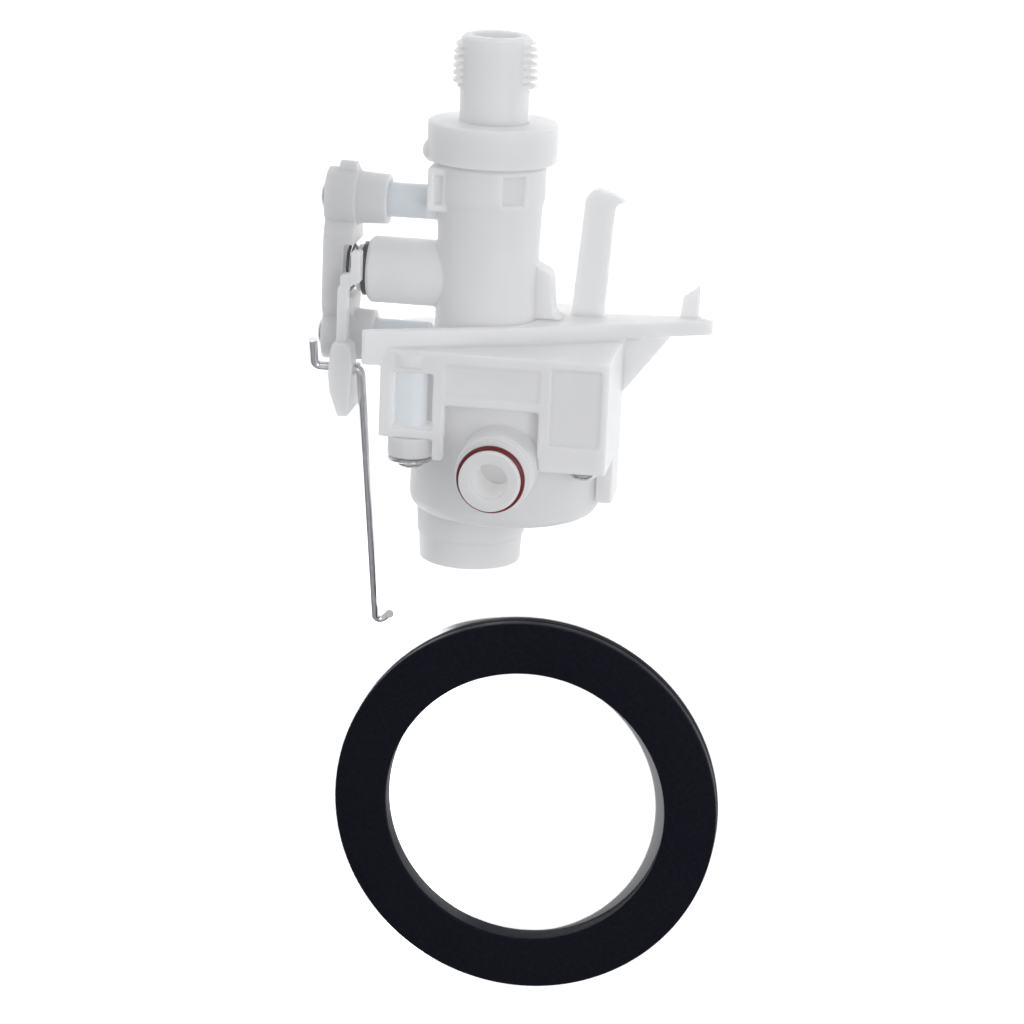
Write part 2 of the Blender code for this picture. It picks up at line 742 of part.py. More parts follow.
def mounting_plate():
    """Tray and wing with their rim, the legs, the lower cover post, a snap post and a tab."""
    low, high = FLOOR
    wall = 2.6
    rim = FRONT_LINE + inner_line(FRONT_LINE, wall)[::-1]
    tray = [(-25.8, 28.5), (-25.8, 6.0), (-13.0, 4.0), (8.0, 12.0)]
    wing = [(6.0, 13.0), FRONT_LINE[1], FRONT_LINE[2], WING_TIP, (52.6, -16.4)]
    wing += [(30.0, -12.5), (18.0, -21.0), (-9.0, -21.0), (-12.0, -10.0)]
    gusset = [(34.5, -3.5), (46.9, -3.5), (36.0, -18.0), (34.5, -18.0)]
    tab = [(48.3, -1.0), (48.9, 5.2), (53.2, 8.7), (53.2, -1.0)]
    plate = cylinder("Y", (CHAMBER_X, 0), low, high, CHAMBER_RADIUS, sides=36)
    joined(
        plate,
        slab("Y", wing, -WING_THICK, 0.0, 0.4),
        cylinder("Y", (0, 0), low + 0.1, high + 0.6, 16.2, sides=28),
        slab("Y", rim, low + 0.05, 0.05, 0.4),
        slab("Y", tray, low + 0.15, -6.2),
        cylinder("X", (LOWER_POST_Y, 0), POST_END, -14.0, POST_RADIUS),
        *legs(),
        slab("Z", gusset, -6.0, -3.0),
        slab("Z", snap_post_outline(), -10.0, -6.2, 0.3),
        slab("Z", tab, -15.8, -13.0, 0.3),
    )
    cut(plate, *leg_windows())
    for name, centre in EARS.items():
        top, margin = (low + 1.5, 1.5) if name == "rear" else (high + 0.05, 0.5)
        joined(
            plate,
            cylinder("Y", centre, low - 0.05, top, EAR_RADII[name] + margin),
            cylinder("Y", centre, EAR_SPAN[1] + GAP, high - 1.9, COLUMN_RADIUS, sides=18),
        )
    cut(
        plate,
        cylinder("Y", (CHAMBER_X, 0), -70.0, low - GAP, CHAMBER_RADIUS + GAP, sides=36),
        cylinder("Y", EARS["right"], -40.0, EAR_SPAN[1] + GAP, EAR_RADII["right"] + 0.4),
        cylinder("Z", NOZZLE, 10.0, 40.0, NOZZLE_BOSS[0] + GAP),
        cylinder("Y", (0, 0), -20.0, 5.0, HOLE_RADIUS, sides=28),
        cylinder("X", (LOWER_POST_Y, 0), POST_END - 1, -20.0, PILOT_RADIUS, sides=13),
        *(cylinder("Y", centre, -40.0, -12.0, 1.9, sides=14) for centre in EARS.values()),
    )
    finish(plate, "mounting_plate", MILKY)


# ---------------------------------------------------------------- outlet housing


def ears():
    """Screw ears, each a round lug with a second round that runs it into the chamber."""
    shapes = []
    low, high = EAR_SPAN
    for name, (x, z) in EARS.items():
        inward = 4.5 / hypot(x - CHAMBER_X, z)
        near = (x + (CHAMBER_X - x) * inward, z - z * inward)
        shapes.append(cylinder("Y", (x, z), low, high, EAR_RADII[name]))
        shapes.append(cylinder("Y", near, low + 0.1, high - 0.1, EAR_RADII[name] - 0.7, sides=22))
    return shapes


def outlet_housing():
    """Round chamber with its spigot, its three screw ears and the nozzle's boss."""
    low, high = CHAMBER_SPAN
    inner = CHAMBER_RADIUS - CHAMBER_WALL
    base = low + 2.5
    fillet = 3.6
    corner = (CHAMBER_RADIUS - fillet, low + fillet)
    profile = [(CHAMBER_RADIUS, high), *arc(corner, fillet, 0, -90, 5), (0, low)]
    cup = turned("Y", (CHAMBER_X, 0), [(0, high), *profile], 40)
    joined(
        cup,
        cylinder("Y", (SPIGOT_X, 0), -57.2, low + 1.2, 13.8, 14.1),
        cylinder("Y", (SPIGOT_X, 0), SPIGOT_END, -56.8, 13.0, 13.4),
        *ears(),
        cylinder("Z", NOZZLE, 20.0, NOZZLE_BOSS[1], NOZZLE_BOSS[0]),
    )
    cut(
        cup,
        cylinder("Y", (CHAMBER_X, 0), base, high + 1, inner, sides=40),
        cylinder("Y", (SPIGOT_X, 0), SPIGOT_END - 1, base + 1, SPIGOT_BORE),
        *(cylinder("Y", centre, -40.0, -20.0, 1.9, sides=14) for centre in EARS.values()),
        cylinder("Z", NOZZLE, NOZZLE_FLOOR, NOZZLE_BOSS[1] + 1, 7.2),
        cylinder("Z", (NOZZLE[0], NOZZLE[1] + 5.2), 10.0, NOZZLE_FLOOR + 1, 1.8, sides=15),
    )
    finish(cup, "outlet_housing", MILKY)
    gasket = [(24.6, -9.3), (24.6, -10.5), (21.2, -10.5), (21.2, -9.3)]
    finish(turned("Y", (CHAMBER_X, 0), gasket, 36), "chamber_gasket", RUBBER)


def outlet_nozzle():
    """Push-in nozzle with an O-ring in a groove near its tip."""
    root_radius = 6.9
    groove = (6.5, 38.1, 40.5)
    shoulder = NOZZLE_BOSS[1] + GAP
    profile = [
        (NOZZLE_BORE, NOZZLE_TIP),
        (NOZZLE_RADIUS - 0.5, NOZZLE_TIP),
        (NOZZLE_RADIUS, NOZZLE_TIP - 0.5),
        (NOZZLE_RADIUS, groove[2]),
        (groove[0], groove[2]),
        (groove[0], groove[1]),
        (NOZZLE_RADIUS, groove[1]),
        (9.6, shoulder + 1.2),
        (9.6, shoulder),
        (root_radius, shoulder),
        (root_radius, 27.0),
        (NOZZLE_BORE, 27.0),
    ]
    finish(turned("Z", NOZZLE, profile), "outlet_nozzle", MILKY)
    middle = (groove[1] + groove[2]) / 2
    finish(o_ring("Z", NOZZLE, middle, 7.7, 0.9), "nozzle_o_ring", RED)


def vacuum_breaker():
    """Float disc and its rubber seal over the spigot's bore."""
    axis = (SPIGOT_X, 0)
    float_profile = [
        (0, -43.0),
        (3.0, -43.0),
        (3.4, -44.6),
        (11.8, -44.9),
        (11.8, -45.9),
        (2.0, -45.9),
        (2.0, -57.0),
        (0, -57.0),
    ]
    finish(turned("Y", axis, float_profile, 20), "vacuum_float", WHITE, (*axis, 0))
    seal = [(12.4, -46.2), (12.4, -47.2), (2.3, -47.2), (2.3, -46.2)]
    finish(turned("Y", axis, seal, 20), "float_seal", RUBBER, (*axis, 0))


def housing_fasteners():
    """A washer and a screw under each ear, driven up into the plate's columns."""
    ear_low = EAR_SPAN[0]
    top = ear_low - GAP
    low = top - 0.9
    for name, centre in EARS.items():
        outer = EAR_RADII[name] - 0.1
        ring = [(outer, top), (outer, low), (1.9, low), (1.9, top)]
        finish(turned("Y", centre, ring, 20), f"housing_washer_{name}", STEEL)
        cross_head_screw(f"housing_screw_{name}", "Y", centre, low, -14.0, 3.6, 1.5, 1.9)


def flange_seal():
    """Flat rubber ring for the floor flange, lying beside the valve."""
    low = BENCH_Z
    high = BENCH_Z + SEAL_THICK
    edge = 0.6
    profile = [
        (SEAL_HOLE + edge, high),
        (SEAL_RADIUS - edge, high),
        (SEAL_RADIUS, high - edge),
        (SEAL_RADIUS, low + edge),
        (SEAL_RADIUS - edge, low),
        (SEAL_HOLE + edge, low),
        (SEAL_HOLE, low + edge),
        (SEAL_HOLE, high - edge),
    ]
    finish(turned("Z", SEAL_CENTRE, profile, 56), "flange_seal", RUBBER, (*SEAL_CENTRE, low))


def main():
    inlet_fitting()
    inlet_cap()
    inlet_internals()
    valve_body()
    valve_core()
    cross_shaft()
    end_cover()
    cover_screws()
    lever()
    wire_link()
    mounting_plate()
    outlet_housing()
    outlet_nozzle()
    vacuum_breaker()
    housing_fasteners()
    flange_seal()


main()
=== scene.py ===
"""Looks of the toilet fill valve: fine moulded shapes, materials, light and camera."""

from math import atan2, cos, hypot, pi, radians, sin, tan

import bmesh
import bpy
from mathutils import Matrix, Vector


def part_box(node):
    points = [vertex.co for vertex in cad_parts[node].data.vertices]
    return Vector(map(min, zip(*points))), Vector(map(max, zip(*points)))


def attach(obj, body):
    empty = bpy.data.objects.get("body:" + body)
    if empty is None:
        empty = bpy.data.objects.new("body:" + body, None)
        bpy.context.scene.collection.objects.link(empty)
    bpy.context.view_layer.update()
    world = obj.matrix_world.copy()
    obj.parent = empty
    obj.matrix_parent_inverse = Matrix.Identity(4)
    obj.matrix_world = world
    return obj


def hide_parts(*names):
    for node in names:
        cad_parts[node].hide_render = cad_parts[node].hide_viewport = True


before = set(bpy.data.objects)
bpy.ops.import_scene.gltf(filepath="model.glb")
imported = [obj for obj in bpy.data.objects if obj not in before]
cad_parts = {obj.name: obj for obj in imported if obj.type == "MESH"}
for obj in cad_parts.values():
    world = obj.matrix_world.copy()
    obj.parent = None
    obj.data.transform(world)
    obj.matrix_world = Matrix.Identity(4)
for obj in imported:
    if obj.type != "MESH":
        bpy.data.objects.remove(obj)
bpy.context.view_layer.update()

MM = 0.001
WELD = 0.000005
SIDES = 96
GAP = 0.3

# The valve's own axes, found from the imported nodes: the inlet axis and the inlet's top
INLET_TOP = 71.4
fitting_low, fitting_high = (Vector(corner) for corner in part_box("inlet_fitting"))
SHIFT = Vector(
    (
        (fitting_low.x + fitting_high.x) / 2,
        fitting_high.y - INLET_TOP * MM,
        (fitting_low.z + fitting_high.z) / 2,
    )
)
BENCH_Z = -SHIFT.z / MM

# Dimensions in millimetres, as in the part's source
INLET_BORE = 6.0
NECK_RADIUS = 8.7
LEAD_RADIUS = 8.4
THREAD_RADIUS = 10.65
THREAD_PITCH = 25.4 / 14
THREAD_SPAN = (57.9, 70.6)
THREAD_FLAT = 5.0
THREAD_RUN = 0.8
THREAD_TAPER = 4.0
FLANK_BLEND = 0.35
CREST_TOP = 1.55
CREST_SLOPE = 4.2
FLANGE = (12.6, 43.6, 46.6)
CAP_RADIUS = 16.4
CAP_SPAN = (39.8, 49.7)
TUBE_RADIUS = 12.9
COLLAR_RADIUS = 13.9
TUBE_SPAN = (-8.4, 41.5)
BORE = 10.0
SHELF = (8.0, 17.0, 19.0)
STEM_Y = 9.8
UPPER_POST_Y = 28.0
LOWER_POST_Y = -7.5
POST_RADIUS = 4.4
POST_END = -30.0
BARREL_RADIUS = 8.5
BARREL_END = -30.3
PILOT_RADIUS = 1.7
STEM_RADIUS = 2.6
STEM_BORE = 3.0
GLAND_BORE = 5.6
COVER = (-41.5, -33.5)
COVER_LOBE = 6.8
COVER_WAIST = 6.3
COVER_NOTCH = (-36.1, 3.0, 16.6)
BOSS_RADIUS = 6.75
LEVER_HUB = (-33.2, -31.9)
WIRE_RADIUS = 1.15
WIRE_PIVOT = (-14.3, 10.0)
FLOOR = (-8.7, -5.5)
WING_THICK = 4.0
HOLE_RADIUS = 13.3
LEG_FRONT = 27.0
LEDGE_TOP = -4.5
FRONT_LINE = [(-25.8, 29.0), (16.0, 10.5), (36.0, -1.0)]
WING_TIP = (57.4, -12.8)
COLUMN_RADIUS = 3.9
CHAMBER_X = 6.8
CHAMBER_RADIUS = 24.5
CHAMBER_WALL = 2.2
CHAMBER_SPAN = (-50.0, -10.8)
SPIGOT_X = -1.7
SPIGOT_END = -64.3
SPIGOT_BORE = 10.6
EAR_SPAN = (-32.5, -27.3)
EARS = {"left": (-14.6, 21.8), "right": (29.3, 20.0), "rear": (-17.9, -17.5)}
EAR_RADII = {"left": 5.7, "right": 4.6, "rear": 5.4}
NOZZLE = (8.7, -32.5)
NOZZLE_BOSS = (9.8, 34.0)
NOZZLE_RADIUS = 7.7
NOZZLE_TIP = 42.0
NOZZLE_FLOOR = 24.3
NOZZLE_BORE = 4.4
SEAL_CENTRE = (13.2, -139.9)
SEAL_RADIUS = 52.2
SEAL_HOLE = 38.1
SEAL_THICK = 6.5

# Camera: a long lens over the front of the valve, a little above it and to its right
CAMERA_TARGET = (8.95, -51.7, 0.0)
CAMERA_AZIMUTH = radians(7.9)
CAMERA_TILT = radians(16.0)
CAMERA_ROLL = radians(2.5)
CAMERA_DISTANCE = 870.0
FIELD_WIDTH = 264.9
SENSOR_WIDTH = 36.0

# Studio: for each lamp its place and size in metres and its power in watts
FLOOR_SIZE = 6.0
FLOOR_DROP = 0.0004
FLOOR_TONE = 0.75
FLOOR_ROUGHNESS = 0.9
SKY_STRENGTH = 0.60
HORIZON = (0.20, 0.21, 0.24)
ZENITH = (0.96, 0.97, 1.0)
KEY_LAMP = ((0.30, 0.10, 0.50), 0.30, 0.90)
FILL_LAMP = ((-0.40, 0.75, 0.60), 0.50, 0.8)
TABLE_LAMP = ((0.62, 0.06, 1.25), 0.07, 24.0)
EDGE_PLACE = (-0.075, -0.08, 1.0)
EDGE_POWER = 45.0
EDGE_CONE = radians(8.6)

# Milky plastic: a painted glow in place of light seeping through the walls, stronger in hollows, and
# painted shade, darker and cooler, on the thicker posts
PAINTED_GLOW = 0.11
PAINTED_HOLLOW_GLOW = 0.19
POST_SHADE_TINT = (0.60, 0.635, 0.662)
SOFT_EDGE = 0.5

ALONG = {
    "X": Matrix(((0, 0, 1), (1, 0, 0), (0, 1, 0))).to_4x4(),
    "Y": Matrix(((1, 0, 0), (0, 0, 1), (0, 1, 0))).to_4x4(),
    "Z": Matrix.Identity(4),
}


# ---------------------------------------------------------------- shape helpers


def tidy_mesh(mesh, matrix):
    """Moves a mesh into place, welds it and turns its faces outward."""
    mesh.transform(matrix)
    work = bmesh.new()
    work.from_mesh(mesh)
    bmesh.ops.remove_doubles(work, verts=work.verts, dist=WELD)
    bmesh.ops.recalc_face_normals(work, faces=work.faces)
    work.to_mesh(mesh)
    work.free()


def solid(mesh, axis="Z", centre=(0.0, 0.0)):
    """A working solid, drawn along Z in the valve's axes, laid along the axis."""
    turn = ALONG[axis] @ Matrix.Translation((centre[0] * MM, centre[1] * MM, 0))
    tidy_mesh(mesh, Matrix.Translation(SHIFT) @ turn)
    piece = bpy.data.objects.new("solid", mesh)
    bpy.context.scene.collection.objects.link(piece)
    return piece


def evaluated(source):
    """The mesh of an object with its modifiers worked out; the object goes."""
    bpy.context.view_layer.update()
    graph = bpy.context.evaluated_depsgraph_get()
    mesh = bpy.data.meshes.new_from_object(source.evaluated_get(graph))
    bpy.data.objects.remove(source)
    return mesh


def applied(source):
    """The same object as plain mesh, its modifiers worked out."""
    mesh = evaluated(source)
    piece = bpy.data.objects.new("solid", mesh)
    bpy.context.scene.collection.objects.link(piece)
    return piece


def block(low, high, bevel=0.0):
    """A box between two corners, with rounded edges where asked."""
    work = bmesh.new()
    bmesh.ops.create_cube(work, size=1.0)
    mesh = bpy.data.meshes.new("block")
    size = [(high[i] - low[i]) * MM for i in range(3)]
    bmesh.ops.scale(work, vec=size, verts=work.verts)
    if bevel:
        bmesh.ops.bevel(
            work, geom=work.edges[:], offset=bevel * MM, segments=3, affect="EDGES", profile=0.5
        )
    work.to_mesh(mesh)
    work.free()
    middle = Vector([(high[i] + low[i]) / 2 for i in range(3)])
    mesh.transform(Matrix.Translation(middle * MM))
    return solid(mesh)


def cylinder(axis, centre, start, end, radius, end_radius=None, sides=SIDES):
    """A cylinder or cone along the axis."""
    work = bmesh.new()
    bmesh.ops.create_cone(
        work,
        cap_ends=True,
        segments=sides,
        radius1=radius * MM,
        radius2=(radius if end_radius is None else end_radius) * MM,
        depth=(end - start) * MM,
        matrix=Matrix.Translation((0, 0, (start + end) / 2 * MM)),
    )
    mesh = bpy.data.meshes.new("cylinder")
    work.to_mesh(mesh)
    work.free()
    return solid(mesh, axis, centre)


def turned(axis, centre, profile, sides=SIDES):
    """A profile of (radius, height) points turned about the axis."""
    mesh = bpy.data.meshes.new("profile")
    points = [(r * MM, 0, h * MM) for r, h in profile]
    closed = profile[0][0] > 0
    count = len(points)
    edges = [(i, (i + 1) % count) for i in range(count if closed else count - 1)]
    mesh.from_pydata(points, edges, [])
    lathe = bpy.data.objects.new("lathe", mesh)
    bpy.context.scene.collection.objects.link(lathe)
    screw = lathe.modifiers.new("turn", "SCREW")
    screw.steps = sides
    screw.render_steps = sides
    screw.use_merge_vertices = True
    screw.merge_threshold = WELD
    return solid(evaluated(lathe), axis, centre)


def slab(axis, points, start, end):
    """A flat outline, given in the two other axes, extruded along the axis."""
    work = bmesh.new()
    ring = [work.verts.new((x * MM, y * MM, start * MM)) for x, y in points]
    face = work.faces.new(ring)
    pulled = bmesh.ops.extrude_face_region(work, geom=[face])
    moved = [item for item in pulled["geom"] if isinstance(item, bmesh.types.BMVert)]
    bmesh.ops.translate(work, verts=moved, vec=(0, 0, (end - start) * MM))
    mesh = bpy.data.meshes.new("slab")
    work.to_mesh(mesh)
    work.free()
    return solid(mesh, axis)


def rod(route, radius, resolution=5, cyclic=False):
    """A round wire along a route of points, with flat cut ends."""
    curve = bpy.data.curves.new("wire", "CURVE")
    curve.dimensions = "3D"
    curve.bevel_depth = radius * MM
    curve.bevel_resolution = resolution
    curve.use_fill_caps = True
    spline = curve.splines.new("POLY")
    spline.points.add(len(route) - 1)
    for knot, point in zip(spline.points, route):
        knot.co = (point[0] * MM, point[1] * MM, point[2] * MM, 1)
    spline.use_cyclic_u = cyclic
    wire = bpy.data.objects.new("wire", curve)
    bpy.context.scene.collection.objects.link(wire)
    return solid(evaluated(wire))


def ball(centre, radius):
    """A sphere round a point of the valve."""
    work = bmesh.new()
    bmesh.ops.create_uvsphere(work, u_segments=40, v_segments=24, radius=radius * MM)
    mesh = bpy.data.meshes.new("ball")
    work.to_mesh(mesh)
    work.free()
    mesh.transform(Matrix.Translation(Vector(centre) * MM))
    return solid(mesh)


def combine(target, tools, operation):
    """Works out one Boolean for each tool and removes the tools."""
    for tool in tools:
        change = target.modifiers.new(operation.lower(), "BOOLEAN")
        change.operation = operation
        change.object = tool
    result = applied(target)
    for tool in tools:
        bpy.data.objects.remove(tool)
    return result


def joined(target, *tools):
    return combine(target, tools, "UNION")


def cut(target, *tools):
    return combine(target, tools, "DIFFERENCE")


def moulded(piece, voxel, passes=4, keep=0.45):
    """Softens every edge as a mould does: a fine remesh, a light smoothing, then fewer faces."""
    remesh = piece.modifiers.new("skin", "REMESH")
    remesh.mode = "VOXEL"
    remesh.voxel_size = voxel * MM
    smooth = piece.modifiers.new("soften", "SMOOTH")
    smooth.factor = 0.5
    smooth.iterations = passes
    thin = piece.modifiers.new("thin", "DECIMATE")
    thin.ratio = keep
    return applied(piece)


def arc(centre, radius, start, end, steps):
    """Points round part of a circle, angles in degrees."""
    angles = [radians(start + (end - start) * i / steps) for i in range(steps + 1)]
    return [(centre[0] + radius * cos(a), centre[1] + radius * sin(a)) for a in angles]


def o_ring(axis, centre, place, ring_radius, section):
    """A round-section ring, as a turned circle."""
    steps = 28
    turn = [-2 * pi * i / steps for i in range(steps)]
    profile = [(ring_radius + section * cos(a), place + section * sin(a)) for a in turn]
    return turned(axis, centre, profile, 128)


def stepped_bore(centre, mouth, wide, step, narrow, bottom):
    """A cutter along X: a wide bore from its mouth to the step, then a narrow one."""
    profile = [(0, mouth), (wide, mouth), (wide, step), (narrow, step), (narrow, bottom)]
    return turned("X", centre, [*profile, (0, bottom)], 71)


def rounded_route(corners, radius, steps=10):
    """A route through corner points, each inner corner rounded to the radius."""
    route = [Vector(corners[0])]
    for before, here, after in zip(corners, corners[1:], corners[2:]):
        here = Vector(here)
        back = (Vector(before) - here).normalized()
        ahead = (Vector(after) - here).normalized()
        half = back.angle(ahead) / 2
        reach = radius / tan(half)
        centre = here + (back + ahead).normalized() * radius / sin(half)
        first = (here + back * reach - centre).normalized()
        last = (here + ahead * reach - centre).normalized()
        route += [centre + radius * first.slerp(last, i / steps) for i in range(steps + 1)]
    route.append(Vector(corners[-1]))
    return route


def place(piece, name, node, body, material, slot, crease=38):
    """Names a finished piece, gives it its material and lets it stand for its CAD node."""
    piece.name = name
    piece.data.name = name
    piece.data.materials.clear()
    piece.data.materials.append(material)
    piece.data.shade_smooth()
    piece.data.set_sharp_from_angle(angle=radians(crease))
    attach(piece, body)
    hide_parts(node)


# ---------------------------------------------------------------- materials


class Graph:
    """A material with its Principled shader and short ways to add nodes."""

    def __init__(self, name):
        self.material = bpy.data.materials.new(name)
        self.material.use_nodes = True
        self.nodes = self.material.node_tree.nodes
        self.links = self.material.node_tree.links
        self.shader = self.nodes["Principled BSDF"]
        self.position = self.nodes.new("ShaderNodeTexCoord").outputs["Object"]

    def set(self, **values):
        for name, value in values.items():
            self.shader.inputs[name.replace("_", " ")].default_value = value

    def noise(self, scale, detail=3.0, stretch=(1, 1, 1)):
        mapping = self.nodes.new("ShaderNodeMapping")
        mapping.inputs["Scale"].default_value = stretch
        self.links.new(self.position, mapping.inputs["Vector"])
        texture = self.nodes.new("ShaderNodeTexNoise")
        texture.inputs["Scale"].default_value = scale
        texture.inputs["Detail"].default_value = detail
        self.links.new(mapping.outputs["Vector"], texture.inputs["Vector"])
        return texture.outputs["Fac"]

    def ramp(self, factor, low, high, start=0.3, end=0.7):
        ramp = self.nodes.new("ShaderNodeValToRGB")
        first, last = ramp.color_ramp.elements
        first.position, first.color = start, (*low, 1)
        last.position, last.color = end, (*high, 1)
        self.links.new(factor, ramp.inputs["Fac"])
        return ramp.outputs["Color"]

    def zone(self, spans):
        """One inside the given spans of X, Y and Z (metres, soft edges of 1 mm), zero outside."""
        split = self.nodes.new("ShaderNodeSeparateXYZ")
        self.links.new(self.position, split.inputs["Vector"])
        inside = None
        for axis, (low, high) in spans.items():
            for edge, sign in ((low, 1), (high, -1)):
                step = self.nodes.new("ShaderNodeMapRange")
                step.interpolation_type = "SMOOTHSTEP"
                step.inputs["From Min"].default_value = edge - sign * SOFT_EDGE * MM
                step.inputs["From Max"].default_value = edge + sign * SOFT_EDGE * MM
                self.links.new(split.outputs[axis], step.inputs["Value"])
                inside = step.outputs["Result"] if inside is None else self.times(inside, step)
        return inside

    def times(self, value, step):
        """The product of a value and a step."""
        product = self.nodes.new("ShaderNodeMath")
        product.operation = "MULTIPLY"
        self.links.new(value, product.inputs[0])
        self.links.new(step.outputs["Result"], product.inputs[1])
        return product.outputs["Value"]

    def between(self, factor, low, high):
        """A value that runs from low to high as the factor runs from zero to one."""
        scale = self.nodes.new("ShaderNodeMapRange")
        scale.inputs["To Min"].default_value = low
        scale.inputs["To Max"].default_value = high
        self.links.new(factor, scale.inputs["Value"])
        return scale.outputs["Result"]

    def tinted(self, colour, factor, tint):
        """The colour, with the tint laid over it where the factor is one."""
        mix = self.nodes.new("ShaderNodeMixRGB")
        mix.inputs["Color2"].default_value = (*tint, 1)
        self.links.new(factor, mix.inputs["Fac"])
        self.links.new(colour, mix.inputs["Color1"])
        return mix.outputs["Color"]

    def grey(self, factor, low, high, start=0.3, end=0.7):
        return self.ramp(factor, (low,) * 3, (high,) * 3, start, end)

    def feed(self, output, socket):
        self.links.new(output, self.shader.inputs[socket])

    def bump(self, heights, distance):
        """Chains heights, each with its strength, into the shader's normal."""
        normal = None
        for height, strength in heights:
            bump = self.nodes.new("ShaderNodeBump")
            bump.inputs["Strength"].default_value = strength
            bump.inputs["Distance"].default_value = distance * MM
            self.links.new(height, bump.inputs["Height"])
            if normal:
                self.links.new(normal, bump.inputs["Normal"])
            normal = bump.outputs["Normal"]
        self.links.new(normal, self.shader.inputs["Normal"])


def milky_plastic(name, tone, roughness=0.40, posts=(), glow_hollow=None):
    """Natural polypropylene: milky and translucent, with flow clouds and a fine grain.

    A faint painted glow stands in for light seeping through the walls, stronger inside the
    hollows given, and painted shade makes the posts darker and cooler.
    """
    graph = Graph(name)
    clouds = graph.noise(55, 3, (1, 0.5, 1))
    low = tuple(c * 0.955 for c in tone)
    colour = graph.ramp(clouds, low, tone)
    # Painted shade: a darker, cooler tone on the posts and the screw column
    for spans in posts:
        colour = graph.tinted(colour, graph.zone(spans), POST_SHADE_TINT)
    graph.feed(colour, "Base Color")
    graph.feed(graph.grey(graph.noise(320, 4), roughness - 0.05, roughness + 0.07), "Roughness")
    graph.set(Subsurface_Weight=0.8, Subsurface_Scale=0.0045, IOR=1.49)
    graph.set(Subsurface_Radius=(1.0, 1.0, 1.03), Specular_IOR_Level=0.22)
    # Painted glow: an even emission on every milky part, in place of light seeping through
    graph.set(Emission_Color=(1, 1, 1, 1), Emission_Strength=PAINTED_GLOW)
    # Painted light: the glow is stronger inside the hollows given
    if glow_hollow:
        graph.feed(graph.between(graph.zone(glow_hollow), PAINTED_GLOW, PAINTED_HOLLOW_GLOW), "Emission Strength")
    graph.bump([(graph.noise(2600, 2), 0.10), (graph.noise(140, 2), 0.16)], 0.10)
    return graph.material


def spans_of(low, high):
    """A box between two corners of the valve, as spans in the scene's own metres."""
    return {axis: (SHIFT[i] + low[i] * MM, SHIFT[i] + high[i] * MM) for i, axis in enumerate("XYZ")}


def shaded_posts():
    """Where the two cover posts and the screw column stand, which get the painted shade."""
    post = POST_RADIUS + 0.6
    x, z = EARS["left"]
    return [
        spans_of((-26.0, UPPER_POST_Y - post, -post), (-15.6, UPPER_POST_Y + post, post)),
        spans_of((-28.2, LOWER_POST_Y - post, -post), (-14.0, LOWER_POST_Y + post, post)),
        spans_of((x - COLUMN_RADIUS, -24.0, 16.0), (x + COLUMN_RADIUS, -11.0, z + 4.2)),
    ]


def nozzle_glow_hollow():
    """Where the nozzle's bore and the wall behind it are, which get the stronger painted glow."""
    x, y = NOZZLE
    reach = NOZZLE_BORE + 0.3
    return spans_of((x - reach, y - reach, NOZZLE_FLOOR - 2.0), (x + reach, y + reach, NOZZLE_TIP - 0.9))


def seal_rubber():
    """Matte black rubber with a moulded grain, pale dust and a few long scuffs."""
    graph = Graph("seal_rubber_fine")
    dust = graph.noise(900, 6)
    graph.feed(graph.ramp(dust, (0.0035, 0.0042, 0.0085), (0.007, 0.008, 0.0145)), "Base Color")
    graph.feed(graph.grey(graph.noise(70, 5), 0.46, 0.66), "Roughness")
    graph.set(Specular_IOR_Level=0.10)
    scuffs = graph.noise(40, 6, (1, 9, 1))
    graph.bump([(graph.noise(1700, 4), 0.35), (scuffs, 0.12)], 0.12)
    return graph.material


def plain_rubber(name, tone, roughness):
    """Small rubber parts: a fine grain and a slight bloom."""
    graph = Graph(name)
    bloom = graph.noise(420, 4)
    graph.feed(graph.ramp(bloom, tuple(c * 0.8 for c in tone), tone), "Base Color")
    graph.feed(graph.grey(graph.noise(800, 3), roughness - 0.06, roughness + 0.08), "Roughness")
    graph.bump([(graph.noise(2400, 3), 0.15)], 0.06)
    return graph.material


def steel(name, tone, roughness, stretch):
    """Drawn or pressed metal with fine lines along the given stretch."""
    graph = Graph(name)
    lines = graph.noise(900, 4, stretch)
    graph.feed(graph.ramp(lines, tuple(c * 0.82 for c in tone), tone), "Base Color")
    graph.feed(graph.grey(lines, roughness - 0.05, roughness + 0.08), "Roughness")
    graph.set(Metallic=1.0)
    graph.bump([(lines, 0.08)], 0.05)
    return graph.material


# Painted light: a stronger glow inside the left leg's window
WINDOW_GLOW_HOLLOW = spans_of((-19.4, -25.1, 8.0), (-8.0, -9.6, 26.0))
MILKY = milky_plastic("milky_moulding", (0.73, 0.73, 0.73), posts=shaded_posts(), glow_hollow=WINDOW_GLOW_HOLLOW)
# Darker copies of the same milky plastic: painted shade on the cover, the chamber and the nozzle
SHADED_COVER = milky_plastic("milky_cover_shaded", (0.60, 0.60, 0.603))
SHADED_LOWER = milky_plastic("milky_lower_shaded", (0.68, 0.68, 0.682), glow_hollow=nozzle_glow_hollow())
WHITE = milky_plastic("white_moulding", (0.72, 0.72, 0.722), 0.36)
SHADED_NOZZLE = milky_plastic("white_nozzle_shaded", (0.66, 0.66, 0.662), 0.36, glow_hollow=nozzle_glow_hollow())
SEAL = seal_rubber()
BLACK = plain_rubber("black_rubber_fine", (0.03, 0.03, 0.034), 0.55)
RED = plain_rubber("red_rubber_fine", (0.17, 0.004, 0.010), 0.34)
BRIGHT = steel("bright_wire_steel", (0.86, 0.86, 0.87), 0.16, (1, 0.06, 1))
PRESSED = steel("pressed_steel", (0.70, 0.70, 0.71), 0.26, (1, 1, 0.3))
DARK = steel("dark_spring_steel", (0.20, 0.20, 0.21), 0.36, (0.3, 1, 1))
BRASS = steel("turned_brass", (0.76, 0.56, 0.27), 0.28, (0.1, 1, 1))


# ---------------------------------------------------------------- inlet


def limited(value):
    """The value, held between zero and one."""
    return max(0.0, min(1.0, value))


